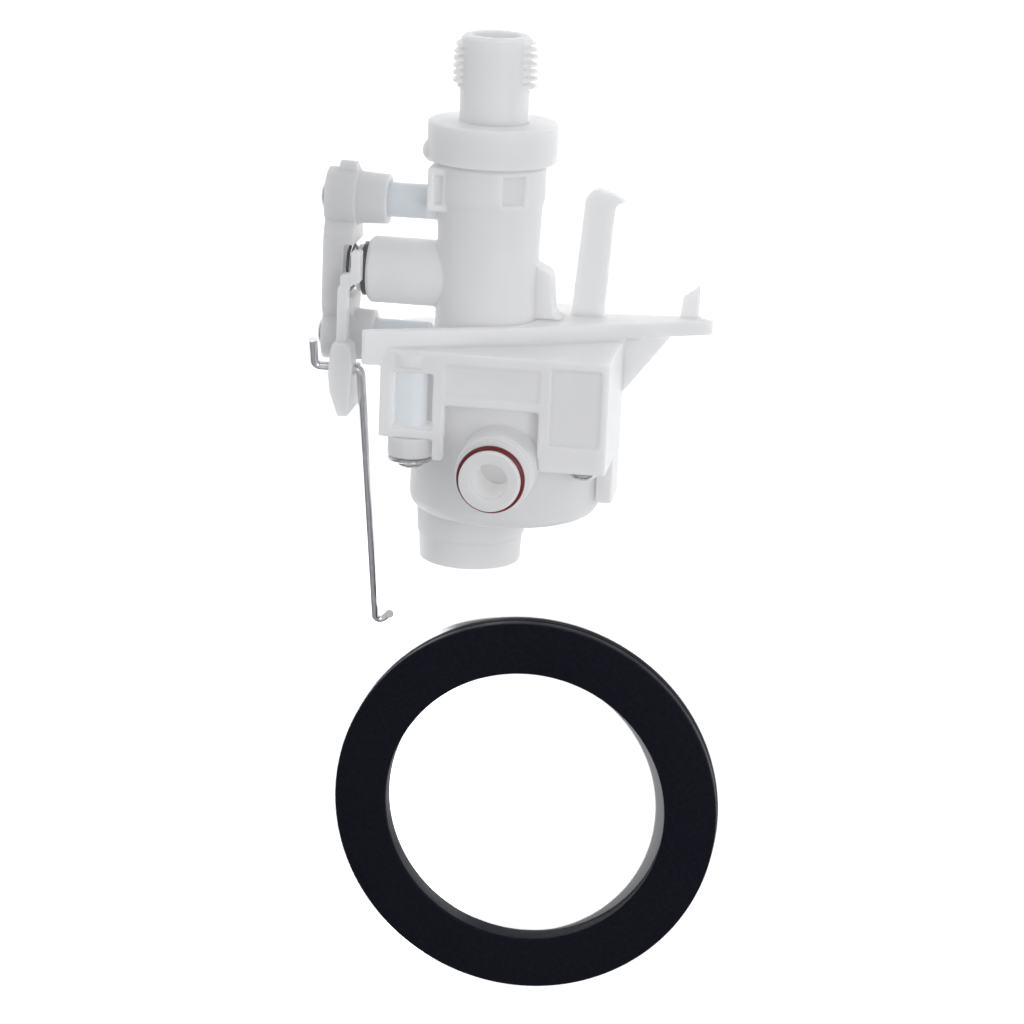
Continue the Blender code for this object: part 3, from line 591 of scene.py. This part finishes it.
def thread_height(height, angle):
    """How far the thread stands out of the neck: left and right, with a flat front and back."""
    low, high = THREAD_SPAN
    phase = (height / THREAD_PITCH - angle / (2 * pi)) % 1.0
    crest = limited(CREST_TOP - abs(phase - 0.5) * CREST_SLOPE)
    run_in = limited((height - low) / THREAD_RUN)
    run_out = limited((high - height) / THREAD_RUN)
    taper = min(1.0, 0.5 + 0.5 * (high - height) / THREAD_TAPER)
    side = abs(cos(angle)) * THREAD_RADIUS
    flat_edge = (THREAD_RADIUS**2 - THREAD_FLAT**2) ** 0.5
    flank = limited((side - flat_edge) / FLANK_BLEND + 1.0)
    return (THREAD_RADIUS - NECK_RADIUS) * crest * run_in * run_out * taper * flank


def inlet_fitting():
    """Threaded nipple with a true helical thread, a soft rim and the flange under the cap."""
    low, high = THREAD_SPAN
    rows = 130
    profile = [(INLET_BORE, INLET_TOP - 0.6), *arc((INLET_BORE + 0.6, INLET_TOP - 0.6), 0.6, 180, 90, 5)]
    profile += arc((LEAD_RADIUS - 0.7, INLET_TOP - 0.7), 0.7, 90, 0, 6)
    profile += [(NECK_RADIUS, high - (high - low) * i / rows) for i in range(rows + 1)]
    profile += arc((NECK_RADIUS + 0.5, CAP_SPAN[1] + 0.2), 0.5, 180, 225, 3)
    radius, flange_low, flange_high = FLANGE
    profile += [(NECK_RADIUS, flange_high), (radius, flange_high), (radius, flange_low)]
    profile += [(INLET_BORE, flange_low)]
    fitting = turned("Y", (0, 0), profile, 288)
    for vertex in fitting.data.vertices:
        x, height, z = (vertex.co - SHIFT) / MM
        reach = hypot(x, z)
        if low <= height <= high and reach > NECK_RADIUS - 0.2:
            grown = (reach + thread_height(height, atan2(z, x))) / reach
            vertex.co.x = SHIFT.x + x * grown * MM
            vertex.co.z = SHIFT.z + z * grown * MM
    place(fitting, "inlet_nipple", "inlet_fitting", "valve", MILKY, "milky_plastic", 50)


def inlet_cap():
    """Retaining cap with rounded shoulders and its locking lump."""
    low, high = CAP_SPAN
    lid = FLANGE[2] + GAP
    skirt = 14.2
    profile = [(NECK_RADIUS + GAP, lid), (NECK_RADIUS + GAP, high)]
    profile += arc((CAP_RADIUS - 0.5, high - 0.5), 0.5, 90, 0, 5)
    profile += arc((CAP_RADIUS - 0.6, low + 0.6), 0.6, 0, -90, 5)
    profile += [(skirt, low), (skirt, lid)]
    cap = turned("Y", (0, 0), profile, 160)
    cap = joined(cap, ball((-14.0, 42.0, 3.2), 3.2))
    cap = cut(cap, cylinder("Y", (0, 0), low - 1, lid, skirt, sides=111))
    place(cap, "retaining_cap", "inlet_cap", "valve", MILKY, "milky_plastic")


# ---------------------------------------------------------------- body


def collar_recess_outline():
    """The shallow square recess on the front right of the collar, in X and Z."""
    turn = radians(34.5)
    outward = (sin(turn), cos(turn))
    across = (cos(turn), -sin(turn))
    corners = [(12.5, -3.2), (12.5, 3.2), (16.0, 3.2), (16.0, -3.2)]
    return [(r * outward[0] + h * across[0], r * outward[1] + h * across[1]) for r, h in corners]


def base_rib_outline():
    return [
        (11.0, 15.2),
        (13.4, 13.4),
        (15.6, 12.4),
        (16.7, 11.0),
        (17.5, 2.2),
        (18.5, 0.9),
        (20.0, GAP),
        (11.0, GAP),
    ]


def valve_body():
    """Body tube with its collar, cross barrel, upper post, slotted lug and base rib."""
    low, high = TUBE_SPAN
    shelf_bore, shelf_low, shelf_high = SHELF
    profile = [
        (0, high),
        (TUBE_RADIUS - 0.5, high),
        (TUBE_RADIUS, high - 0.5),
        (TUBE_RADIUS, 39.2),
        (COLLAR_RADIUS, 38.6),
        (COLLAR_RADIUS, 30.6),
        (TUBE_RADIUS + 0.4, 28.6),
        (TUBE_RADIUS, 15.0),
        (TUBE_RADIUS, low),
        (0, low),
    ]
    bore = [
        (0, high + 1),
        (BORE, high + 1),
        (BORE, shelf_high),
        (shelf_bore, shelf_high),
        (shelf_bore, shelf_low),
        (BORE, shelf_low),
        (BORE, low - 1),
        (0, low - 1),
    ]
    barrel = [
        (0, -9.5),
        (BARREL_RADIUS, -9.5),
        (BARREL_RADIUS, BARREL_END + 1.0),
        (BARREL_RADIUS - 1.0, BARREL_END),
        (0, BARREL_END),
    ]
    body = joined(
        turned("Y", (0, 0), profile, 120),
        turned("X", (STEM_Y, 0), barrel),
        cylinder("X", (UPPER_POST_Y, 0), POST_END, -9.5, POST_RADIUS),
        block((-14.7, 27.4, -4.0), (-8.4, 38.4, 9.4), 0.3),
        slab("Z", base_rib_outline(), -6.0, 2.0),
    )
    body = cut(
        body,
        turned("Y", (0, 0), bore, 97),
        stepped_bore((STEM_Y, 0), BARREL_END - 1, GLAND_BORE, -21.5, STEM_BORE, -5.0),
        cylinder("X", (UPPER_POST_Y, 0), POST_END - 1, -20.0, PILOT_RADIUS, sides=25),
        block((-13.1, 28.9, 7.6), (-10.9, 36.6, 12.0)),
        slab("Y", collar_recess_outline(), 30.2, 37.7),
    )
    place(moulded(body, 0.28), "body_moulding", "valve_body", "valve", MILKY, "milky_plastic", 60)


# ---------------------------------------------------------------- cover, lever and wire


def cover_outline():
    tuck = 40
    upper = arc((UPPER_POST_Y, 0), COVER_LOBE + 0.6, -180 + tuck, 180 - tuck, 30)
    lower = arc((LOWER_POST_Y, 0), COVER_LOBE, tuck, 360 - tuck, 30)
    waist_top = UPPER_POST_Y - 8.5
    waist_low = LOWER_POST_Y + 8.0
    right = [(waist_top, COVER_WAIST), (waist_low, COVER_WAIST)]
    left = [(waist_low, -COVER_WAIST), (waist_top, -COVER_WAIST)]
    return upper + right + lower + left


def end_cover():
    """Cover across the two posts, with its tapered sockets, top nib and spring notch."""
    start, end = COVER
    socket = POST_RADIUS + GAP
    cover = joined(
        slab("X", cover_outline(), start, end),
        cylinder("X", (UPPER_POST_Y, 0), end - 2, -25.6, BOSS_RADIUS, BOSS_RADIUS - 0.5),
        cylinder("X", (LOWER_POST_Y, 0), end - 2, -28.2, BOSS_RADIUS, BOSS_RADIUS - 0.4),
        cylinder("X", (34.6, 0), -38.6, -34.0, 2.6),
    )
    cover = cut(
        cover,
        cylinder("X", (UPPER_POST_Y, 0), POST_END - GAP, -20.0, socket, sides=61),
        cylinder("X", (LOWER_POST_Y, 0), POST_END - GAP, -20.0, socket, sides=61),
        block((COVER_NOTCH[0], COVER_NOTCH[1], -9.0), (end + 1, COVER_NOTCH[2], 9.0)),
        cylinder("X", (STEM_Y, 0), -37.2, end + 1, STEM_BORE, sides=61),
        cylinder("X", (UPPER_POST_Y, 0), start - 1, -20.0, PILOT_RADIUS, sides=25),
        cylinder("X", (LOWER_POST_Y, 0), start - 1, -20.0, PILOT_RADIUS, sides=25),
    )
    cover = moulded(cover, 0.26, 5)
    place(cover, "cover_moulding", "end_cover", "valve", SHADED_COVER, "milky_plastic", 60)


def lever():
    """Lever with its hub, the arm that runs clear of the cover, and the rounded pull pad."""
    start, end = LEVER_HUB
    web = [(13.6, 2.0), (13.6, 9.0), (7.0, 9.0), (7.0, 2.0)]
    reach = [
        (-33.2, 16.0),
        (-30.75, 16.0),
        (-30.75, 8.2),
        (-33.4, 7.4),
        (-33.9, 5.6),
        (-33.9, -10.0),
        (-36.4, -10.0),
        (-36.4, 6.6),
        (-35.8, 7.2),
        (-35.8, 9.8),
        (-33.8, 10.2),
        (-33.2, 11.0),
    ]
    pad = [
        (-36.8, -7.3),
        (-33.4, -7.3),
        (-32.2, -8.4),
        (-31.7, -13.0),
        (-32.4, -26.0),
        (-35.0, -26.3),
        (-37.3, -20.0),
        (-37.8, -15.0),
        (-37.3, -9.0),
    ]
    upper_pad = slab("Z", pad, -1.0, 14.0)
    upper_pad = cut(upper_pad, block((-39.0, -15.2, -5.0), (-30.0, -5.0, 7.2)))
    arm = joined(
        cylinder("X", (STEM_Y, 0), start, end, 6.0),
        slab("X", web, start + 0.05, end - 0.05),
        slab("Z", reach, 7.4, 11.6),
        upper_pad,
    )
    arm = cut(
        arm,
        cylinder("X", (STEM_Y, 0), start - 1, end + 1, STEM_RADIUS + GAP, sides=61),
        cylinder("X", WIRE_PIVOT, -45.0, -25.0, WIRE_RADIUS + GAP + 0.05, sides=61),
    )
    arm = moulded(arm, 0.2, 9, 0.5)
    place(arm, "pull_lever", "actuator_lever", "lever", WHITE, "white_plastic", 60)


def wire_link():
    """Bright drawn wire, bent through the lever's eye and hooked at its end."""
    eye_y, eye_z = WIRE_PIVOT
    floor_z = BENCH_Z + WIRE_RADIUS
    corners = [
        (-42.05, -6.8, 13.2),
        (-42.05, eye_y, eye_z),
        (-30.1, eye_y, eye_z),
        (-30.2, -93.6, floor_z),
        (-25.9, -88.5, floor_z + 0.6),
        (-25.6, -88.2, floor_z + 4.8),
    ]
    wire = rod(rounded_route(corners, 1.6), WIRE_RADIUS, 8)
    place(wire, "drawn_wire_link", "wire_link", "link", BRIGHT, "bright_steel", 50)


def dished_head(profile_head, seat, out, head, height):
    """Points of a domed head, from the middle out to its rim."""
    steps = 10
    crown = [i / steps for i in range(steps + 1)]
    for share in crown:
        radius = head * sin(share * pi / 2)
        rise = height * cos(share * pi / 2) ** 0.8 if share < 1 else 0.0
        profile_head.append((radius, seat + out * (0.12 + rise)))
    return profile_head


def screw(name, node, axis, centre, seat, tip, head, shank, height):
    """A domed screw with a cross recess in its head."""
    out = 1 if seat > tip else -1
    face = seat + out * GAP
    profile = dished_head([], face, out, head, height - 0.12)
    profile += [(head, face), (shank, face), (shank, tip), (0, tip)]
    made = turned(axis, centre, profile, 64)
    top = face + out * height
    deep = top - out * height * 0.7
    ends = sorted((deep, top + out))
    low = {"X": (ends[0], centre[0], centre[1]), "Y": (centre[0], ends[0], centre[1])}[axis]
    high = {"X": (ends[1], centre[0], centre[1]), "Y": (centre[0], ends[1], centre[1])}[axis]
    spans = {"X": [(0, 1.7, 0.35), (0, 0.35, 1.7)], "Y": [(1.7, 0, 0.35), (0.35, 0, 1.7)]}[axis]
    slots = []
    for span in spans:
        corner = tuple(a - b for a, b in zip(low, span))
        other = tuple(a + b for a, b in zip(high, span))
        slots.append(block(corner, other))
    made = cut(made, *slots)
    place(made, name, node, "valve", PRESSED, "bright_steel", 30)


def cover_screws():
    for side, height in (("upper", UPPER_POST_Y), ("lower", LOWER_POST_Y)):
        name = f"cover_screw_{side}"
        screw(f"{side}_cover_screw", name, "X", (height, 0), COVER[0], -22.0, 3.45, 1.3, 1.5)


# ---------------------------------------------------------------- mounting plate


def inner_line(points, depth):
    """The front line moved back by a wall's thickness."""
    (x0, z0), (x1, z1) = points[0], points[-1]
    length = hypot(x1 - x0, z1 - z0)
    back = ((z1 - z0) / length * depth, -(x1 - x0) / length * depth)
    return [(x + back[0], z + back[1]) for x, z in points]


def legs():
    """Solids of the legs, the bridge and the ledge over them."""
    ledge = [(-20.0, LEG_FRONT - 0.1), (34.8, LEG_FRONT - 0.1), (34.8, -3.0)]
    ledge += [(16.0, 8.8), (-20.0, 24.8)]
    side = [(-4.6, 26.8), (-32.9, 26.8), (-32.9, -6.0), (-4.6, -6.0)]
    return [
        slab("Y", ledge, FLOOR[0], LEDGE_TOP),
        block((-22.0, -27.0, 6.0), (-19.6, -6.5, 26.9)),
        block((-22.0, -27.0, 22.6), (-5.7, -6.5, LEG_FRONT), 0.3),
        block((-22.0, -27.0, 8.0), (-5.8, -24.5, 26.8)),
        block((-8.3, -32.2, 23.6), (-5.6, -6.5, 26.9), 0.2),
        block((-6.0, -18.0, 24.8), (19.0, -6.5, 26.95)),
        block((18.2, -33.0, 22.0), (35.5, -6.5, LEG_FRONT), 0.3),
        slab("X", side, 33.0, 35.45),
        block((31.2, -45.4, -5.9), (35.3, -31.0, 7.0)),
        cylinder("Y", (27.2, 21.6), -26.9, -6.0, 4.2),
    ]


def leg_windows():
    """The open window of the left leg and the recesses of the bridge and the right leg."""
    return [
        block((-18.8, -24.5, 20.0), (-8.6, -10.2, 30.0)),
        block((21.2, -26.2, 26.1), (33.6, -6.6, 30.0), 0.4),
        block((-5.6, -15.6, 26.4), (18.2, -7.4, 30.0), 0.3),
    ]


def snap_post_outline():
    return [
        (20.9, -1.0),
        (23.3, 30.4),
        *arc((26.6, 30.0), 2.9, 150, 60, 8),
        (30.4, 31.8),
        (32.4, 31.0),
        (33.3, 29.8),
        (31.6, 29.2),
        (30.9, 27.4),
        (29.4, -1.0),
    ]


def mounting_plate():
    """Tray, wing and rim with the legs, the lower post, the snap post, the tab and the gusset."""
    low, high = FLOOR
    rim = FRONT_LINE + inner_line(FRONT_LINE, 2.6)[::-1]
    tray = [(-25.8, 28.5), (-25.8, 6.0), (-13.0, 4.0), (8.0, 12.0)]
    wing = [(6.0, 13.0), FRONT_LINE[1], FRONT_LINE[2], WING_TIP, (52.6, -16.4)]
    wing += [(30.0, -12.5), (18.0, -21.0), (-9.0, -21.0), (-12.0, -10.0)]
    gusset = [(34.5, -3.5), (46.9, -3.5), (36.0, -18.0), (34.5, -18.0)]
    tab = [(48.3, -1.0), (48.9, 5.2), (53.2, 8.7), (53.2, -1.0)]
    plate = joined(
        cylinder("Y", (CHAMBER_X, 0), low, high, CHAMBER_RADIUS),
        slab("Y", wing, -WING_THICK, 0.0),
        cylinder("Y", (0, 0), low + 0.1, high + 0.6, 16.2),
        slab("Y", rim, low + 0.05, 0.05),
        slab("Y", tray, low + 0.15, -6.2),
        cylinder("X", (LOWER_POST_Y, 0), POST_END, -14.0, POST_RADIUS),
        *legs(),
        slab("Z", gusset, -6.0, -3.0),
        slab("Z", snap_post_outline(), -10.0, -6.2),
        slab("Z", tab, -15.8, -13.0),
    )
    plate = cut(plate, *leg_windows())
    columns = []
    for name, centre in EARS.items():
        top, margin = (low + 1.5, 1.5) if name == "rear" else (high + 0.05, 0.5)
        columns.append(cylinder("Y", centre, low - 0.05, top, EAR_RADII[name] + margin))
        columns.append(cylinder("Y", centre, EAR_SPAN[1] + GAP, high - 1.9, COLUMN_RADIUS))
    plate = joined(plate, *columns)
    plate = cut(
        plate,
        cylinder("Y", (CHAMBER_X, 0), -70.0, low - GAP, CHAMBER_RADIUS + GAP, sides=90),
        cylinder("Y", EARS["right"], -40.0, EAR_SPAN[1] + GAP, EAR_RADII["right"] + 0.4),
        cylinder("Z", NOZZLE, 10.0, 40.0, NOZZLE_BOSS[0] + GAP),
        cylinder("Y", (0, 0), -20.0, 5.0, HOLE_RADIUS, sides=90),
        cylinder("X", (LOWER_POST_Y, 0), POST_END - 1, -20.0, PILOT_RADIUS, sides=25),
        *(cylinder("Y", centre, -40.0, -12.0, 1.9, sides=25) for centre in EARS.values()),
    )
    plate = moulded(plate, 0.32)
    place(plate, "plate_moulding", "mounting_plate", "valve", MILKY, "milky_plastic", 60)


# ---------------------------------------------------------------- outlet housing


def ears():
    """Screw ears, each a round lug with a second round that runs it into the chamber."""
    shapes = []
    low, high = EAR_SPAN
    for name, (x, z) in EARS.items():
        inward = 4.5 / hypot(x - CHAMBER_X, z)
        near = (x + (CHAMBER_X - x) * inward, z - z * inward)
        shapes.append(cylinder("Y", (x, z), low, high, EAR_RADII[name]))
        shapes.append(cylinder("Y", near, low + 0.1, high - 0.1, EAR_RADII[name] - 0.7))
    return shapes


def outlet_housing():
    """Round chamber with its stepped spigot, ears and the nozzle's boss."""
    low, high = CHAMBER_SPAN
    inner = CHAMBER_RADIUS - CHAMBER_WALL
    base = low + 2.5
    fillet = 3.6
    corner = (CHAMBER_RADIUS - fillet, low + fillet)
    profile = [(0, high), (CHAMBER_RADIUS, high), *arc(corner, fillet, 0, -90, 12), (0, low)]
    cup = joined(
        turned("Y", (CHAMBER_X, 0), profile, 144),
        cylinder("Y", (SPIGOT_X, 0), -57.2, low + 1.2, 13.8, 14.1),
        cylinder("Y", (SPIGOT_X, 0), SPIGOT_END, -56.8, 13.0, 13.4),
        *ears(),
        cylinder("Z", NOZZLE, 20.0, NOZZLE_BOSS[1], NOZZLE_BOSS[0]),
    )
    cup = cut(
        cup,
        cylinder("Y", (CHAMBER_X, 0), base, high + 1, inner, sides=111),
        cylinder("Y", (SPIGOT_X, 0), SPIGOT_END - 1, base + 1, SPIGOT_BORE, sides=83),
        *(cylinder("Y", centre, -40.0, -20.0, 1.9, sides=25) for centre in EARS.values()),
        cylinder("Z", NOZZLE, NOZZLE_FLOOR, NOZZLE_BOSS[1] + 1, 7.2, sides=83),
        cylinder("Z", (NOZZLE[0], NOZZLE[1] + 5.2), 10.0, NOZZLE_FLOOR + 1, 1.8, sides=37),
    )
    cup = moulded(cup, 0.32)
    place(cup, "chamber_moulding", "outlet_housing", "valve", SHADED_LOWER, "milky_plastic", 60)


def outlet_nozzle():
    """Push-in nozzle with its grooved, rounded tip."""
    groove = (6.5, 38.1, 40.5)
    shoulder = NOZZLE_BOSS[1] + GAP
    rim = 0.7
    profile = [(NOZZLE_BORE, 27.0), (NOZZLE_BORE, NOZZLE_TIP - rim)]
    profile += arc((NOZZLE_BORE + rim, NOZZLE_TIP - rim), rim, 180, 90, 6)
    profile += arc((NOZZLE_RADIUS - rim, NOZZLE_TIP - rim), rim, 90, 0, 6)
    profile += [(NOZZLE_RADIUS, groove[2]), (groove[0], groove[2])]
    profile += [(groove[0], groove[1]), (NOZZLE_RADIUS, groove[1])]
    profile += arc((9.6 - 0.4, shoulder + 0.8), 0.4, 90, 0, 4)
    profile += [(9.6, shoulder), (6.9, shoulder), (6.9, 27.0)]
    nozzle = turned("Z", NOZZLE, profile, 128)
    place(nozzle, "nozzle_moulding", "outlet_nozzle", "valve", SHADED_NOZZLE, "milky_plastic")
    middle = (groove[1] + groove[2]) / 2
    ring = o_ring("Z", NOZZLE, middle, 7.7, 0.9)
    place(ring, "red_o_ring", "nozzle_o_ring", "valve", RED, "red_rubber")


def housing_fasteners():
    """A pressed washer and a domed screw under each ear."""
    top = EAR_SPAN[0] - GAP
    low = top - 0.9
    for side, centre in EARS.items():
        outer = EAR_RADII[side] - 0.1
        edge = 0.25
        ring = [(1.9, low), (1.9, top), (outer - edge, top), (outer, top - edge)]
        ring += [(outer, low + edge), (outer - edge, low)]
        washer = turned("Y", centre, ring, 96)
        node = f"housing_washer_{side}"
        place(washer, f"{side}_housing_washer", node, "valve", PRESSED, "bright_steel", 30)
        node = f"housing_screw_{side}"
        screw(f"{side}_housing_screw", node, "Y", centre, low, -14.0, 3.6, 1.5, 1.9)


def flange_seal():
    """Flat rubber ring with softened edges and a fine parting line round its sides."""
    low = BENCH_Z
    high = BENCH_Z + SEAL_THICK
    edge = 0.7
    middle = (low + high) / 2
    profile = arc((SEAL_HOLE + edge, high - edge), edge, 180, 90, 5)
    profile += arc((SEAL_RADIUS - edge, high - edge), edge, 90, 0, 5)
    profile += [(SEAL_RADIUS, middle + 0.3), (SEAL_RADIUS - 0.2, middle), (SEAL_RADIUS, middle - 0.3)]
    profile += arc((SEAL_RADIUS - edge, low + edge), edge, 0, -90, 5)
    profile += arc((SEAL_HOLE + edge, low + edge), edge, -90, -180, 5)
    ring = turned("Z", SEAL_CENTRE, profile, 256)
    place(ring, "rubber_flange_ring", "flange_seal", "seal", SEAL, "seal_rubber", 50)


def inner_parts():
    """Better finishes on the nodes that stay as the CAD model made them."""
    finishes = {
        BLACK: ["inlet_gasket", "flow_washer", "poppet_seal", "chamber_gasket", "float_seal"],
        WHITE: ["cross_shaft", "poppet", "cam_follower", "vacuum_float", "stem_gland"],
        PRESSED: ["inlet_screen", "poppet_spring"],
        DARK: ["thrust_washer", "torsion_spring"],
        BRASS: ["seat_ring"],
    }
    finishes[BLACK] += ["stem_o_ring_outer", "stem_o_ring_inner"]
    for material, nodes in finishes.items():
        for node in nodes:
            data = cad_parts[node].data
            data.materials.clear()
            data.materials.append(material)


# ---------------------------------------------------------------- studio


def studio():
    """A white floor, an overhead sky that darkens towards the horizon, and soft lamps."""
    bpy.ops.mesh.primitive_plane_add(size=FLOOR_SIZE, location=(0, 0, -FLOOR_DROP))
    floor = bpy.context.object
    floor.name = "floor"
    material = bpy.data.materials.new("white_floor")
    material.use_nodes = True
    shader = material.node_tree.nodes["Principled BSDF"]
    shader.inputs["Base Color"].default_value = (FLOOR_TONE, FLOOR_TONE, FLOOR_TONE, 1)
    shader.inputs["Roughness"].default_value = FLOOR_ROUGHNESS
    floor.data.materials.append(material)
    sky()
    key = lamp("key", *KEY_LAMP)
    fill = lamp("fill", *FILL_LAMP)
    table = lamp("table_lamp", *TABLE_LAMP)
    for light in (key, fill):
        linked(light, "receiver", floor, "EXCLUDE")
    linked(table, "receiver", floor, "INCLUDE")
    linked(table, "blocker", bpy.data.objects["rubber_flange_ring"], "INCLUDE")
    edge = edge_lamp()
    linked(edge, "receiver", floor, "INCLUDE")
    linked(edge, "blocker", floor, "INCLUDE")


def linked(light, role, piece, state):
    """Ties the light's effect on a piece, or its shadow, to that piece or away from it."""
    group = bpy.data.collections.new(f"{light.name}_{role}")
    group.objects.link(piece)
    group.collection_objects[0].light_linking.link_state = state
    setattr(light.light_linking, f"{role}_collection", group)


def sky():
    """A sky that is pale overhead and darker at the horizon."""
    world = bpy.data.worlds.new("pale_sky")
    world.use_nodes = True
    nodes = world.node_tree.nodes
    links = world.node_tree.links
    split = nodes.new("ShaderNodeSeparateXYZ")
    links.new(nodes.new("ShaderNodeTexCoord").outputs["Generated"], split.inputs["Vector"])
    ramp = nodes.new("ShaderNodeValToRGB")
    first, last = ramp.color_ramp.elements
    first.position, first.color = 0.05, (*HORIZON, 1)
    last.position, last.color = 0.85, (*ZENITH, 1)
    links.new(split.outputs["Z"], ramp.inputs["Fac"])
    links.new(ramp.outputs["Color"], nodes["Background"].inputs["Color"])
    nodes["Background"].inputs["Strength"].default_value = SKY_STRENGTH
    bpy.context.scene.world = world


def lamp(name, place_at, size, power):
    """A soft square lamp that faces the object and stays out of the picture."""
    data = bpy.data.lights.new(name, "AREA")
    data.size = size
    data.energy = power
    light = bpy.data.objects.new(name, data)
    light.location = place_at
    light.rotation_euler = (-light.location).to_track_quat("-Z", "Y").to_euler()
    light.visible_camera = False
    bpy.context.scene.collection.objects.link(light)
    return light


def edge_lamp():
    """Keeps the floor white at the ring's left edge, where the table lamp's shadow falls."""
    data = bpy.data.lights.new("edge_lamp", "SPOT")
    data.energy = EDGE_POWER
    data.spot_size = EDGE_CONE
    data.spot_blend = 0.2
    light = bpy.data.objects.new("edge_lamp", data)
    light.location = EDGE_PLACE
    bpy.context.scene.collection.objects.link(light)
    return light


def camera():
    """Looks down the valve's front axis, tilted and rolled a little."""
    az, tilt, roll = CAMERA_AZIMUTH, CAMERA_TILT, CAMERA_ROLL
    right = Vector((cos(az), 0, -sin(az)))
    up = Vector((-sin(az) * sin(tilt), cos(tilt), -cos(az) * sin(tilt)))
    back = right.cross(up)
    across = right * cos(roll) + up * sin(roll)
    upward = up * cos(roll) - right * sin(roll)
    data = bpy.data.cameras.new("camera")
    data.sensor_width = SENSOR_WIDTH
    data.lens = SENSOR_WIDTH * CAMERA_DISTANCE / FIELD_WIDTH
    view = bpy.data.objects.new("camera", data)
    centre = SHIFT + Vector(CAMERA_TARGET) * MM + back * CAMERA_DISTANCE * MM
    view.matrix_world = Matrix.Translation(centre) @ Matrix((across, upward, back)).transposed().to_4x4()
    bpy.context.scene.collection.objects.link(view)
    bpy.context.scene.camera = view
    bpy.context.scene.view_settings.view_transform = "Standard"


def main():
    camera()
    inlet_fitting()
    inlet_cap()
    valve_body()
    end_cover()
    cover_screws()
    lever()
    wire_link()
    mounting_plate()
    outlet_housing()
    outlet_nozzle()
    housing_fasteners()
    flange_seal()
    inner_parts()
    studio()


main()
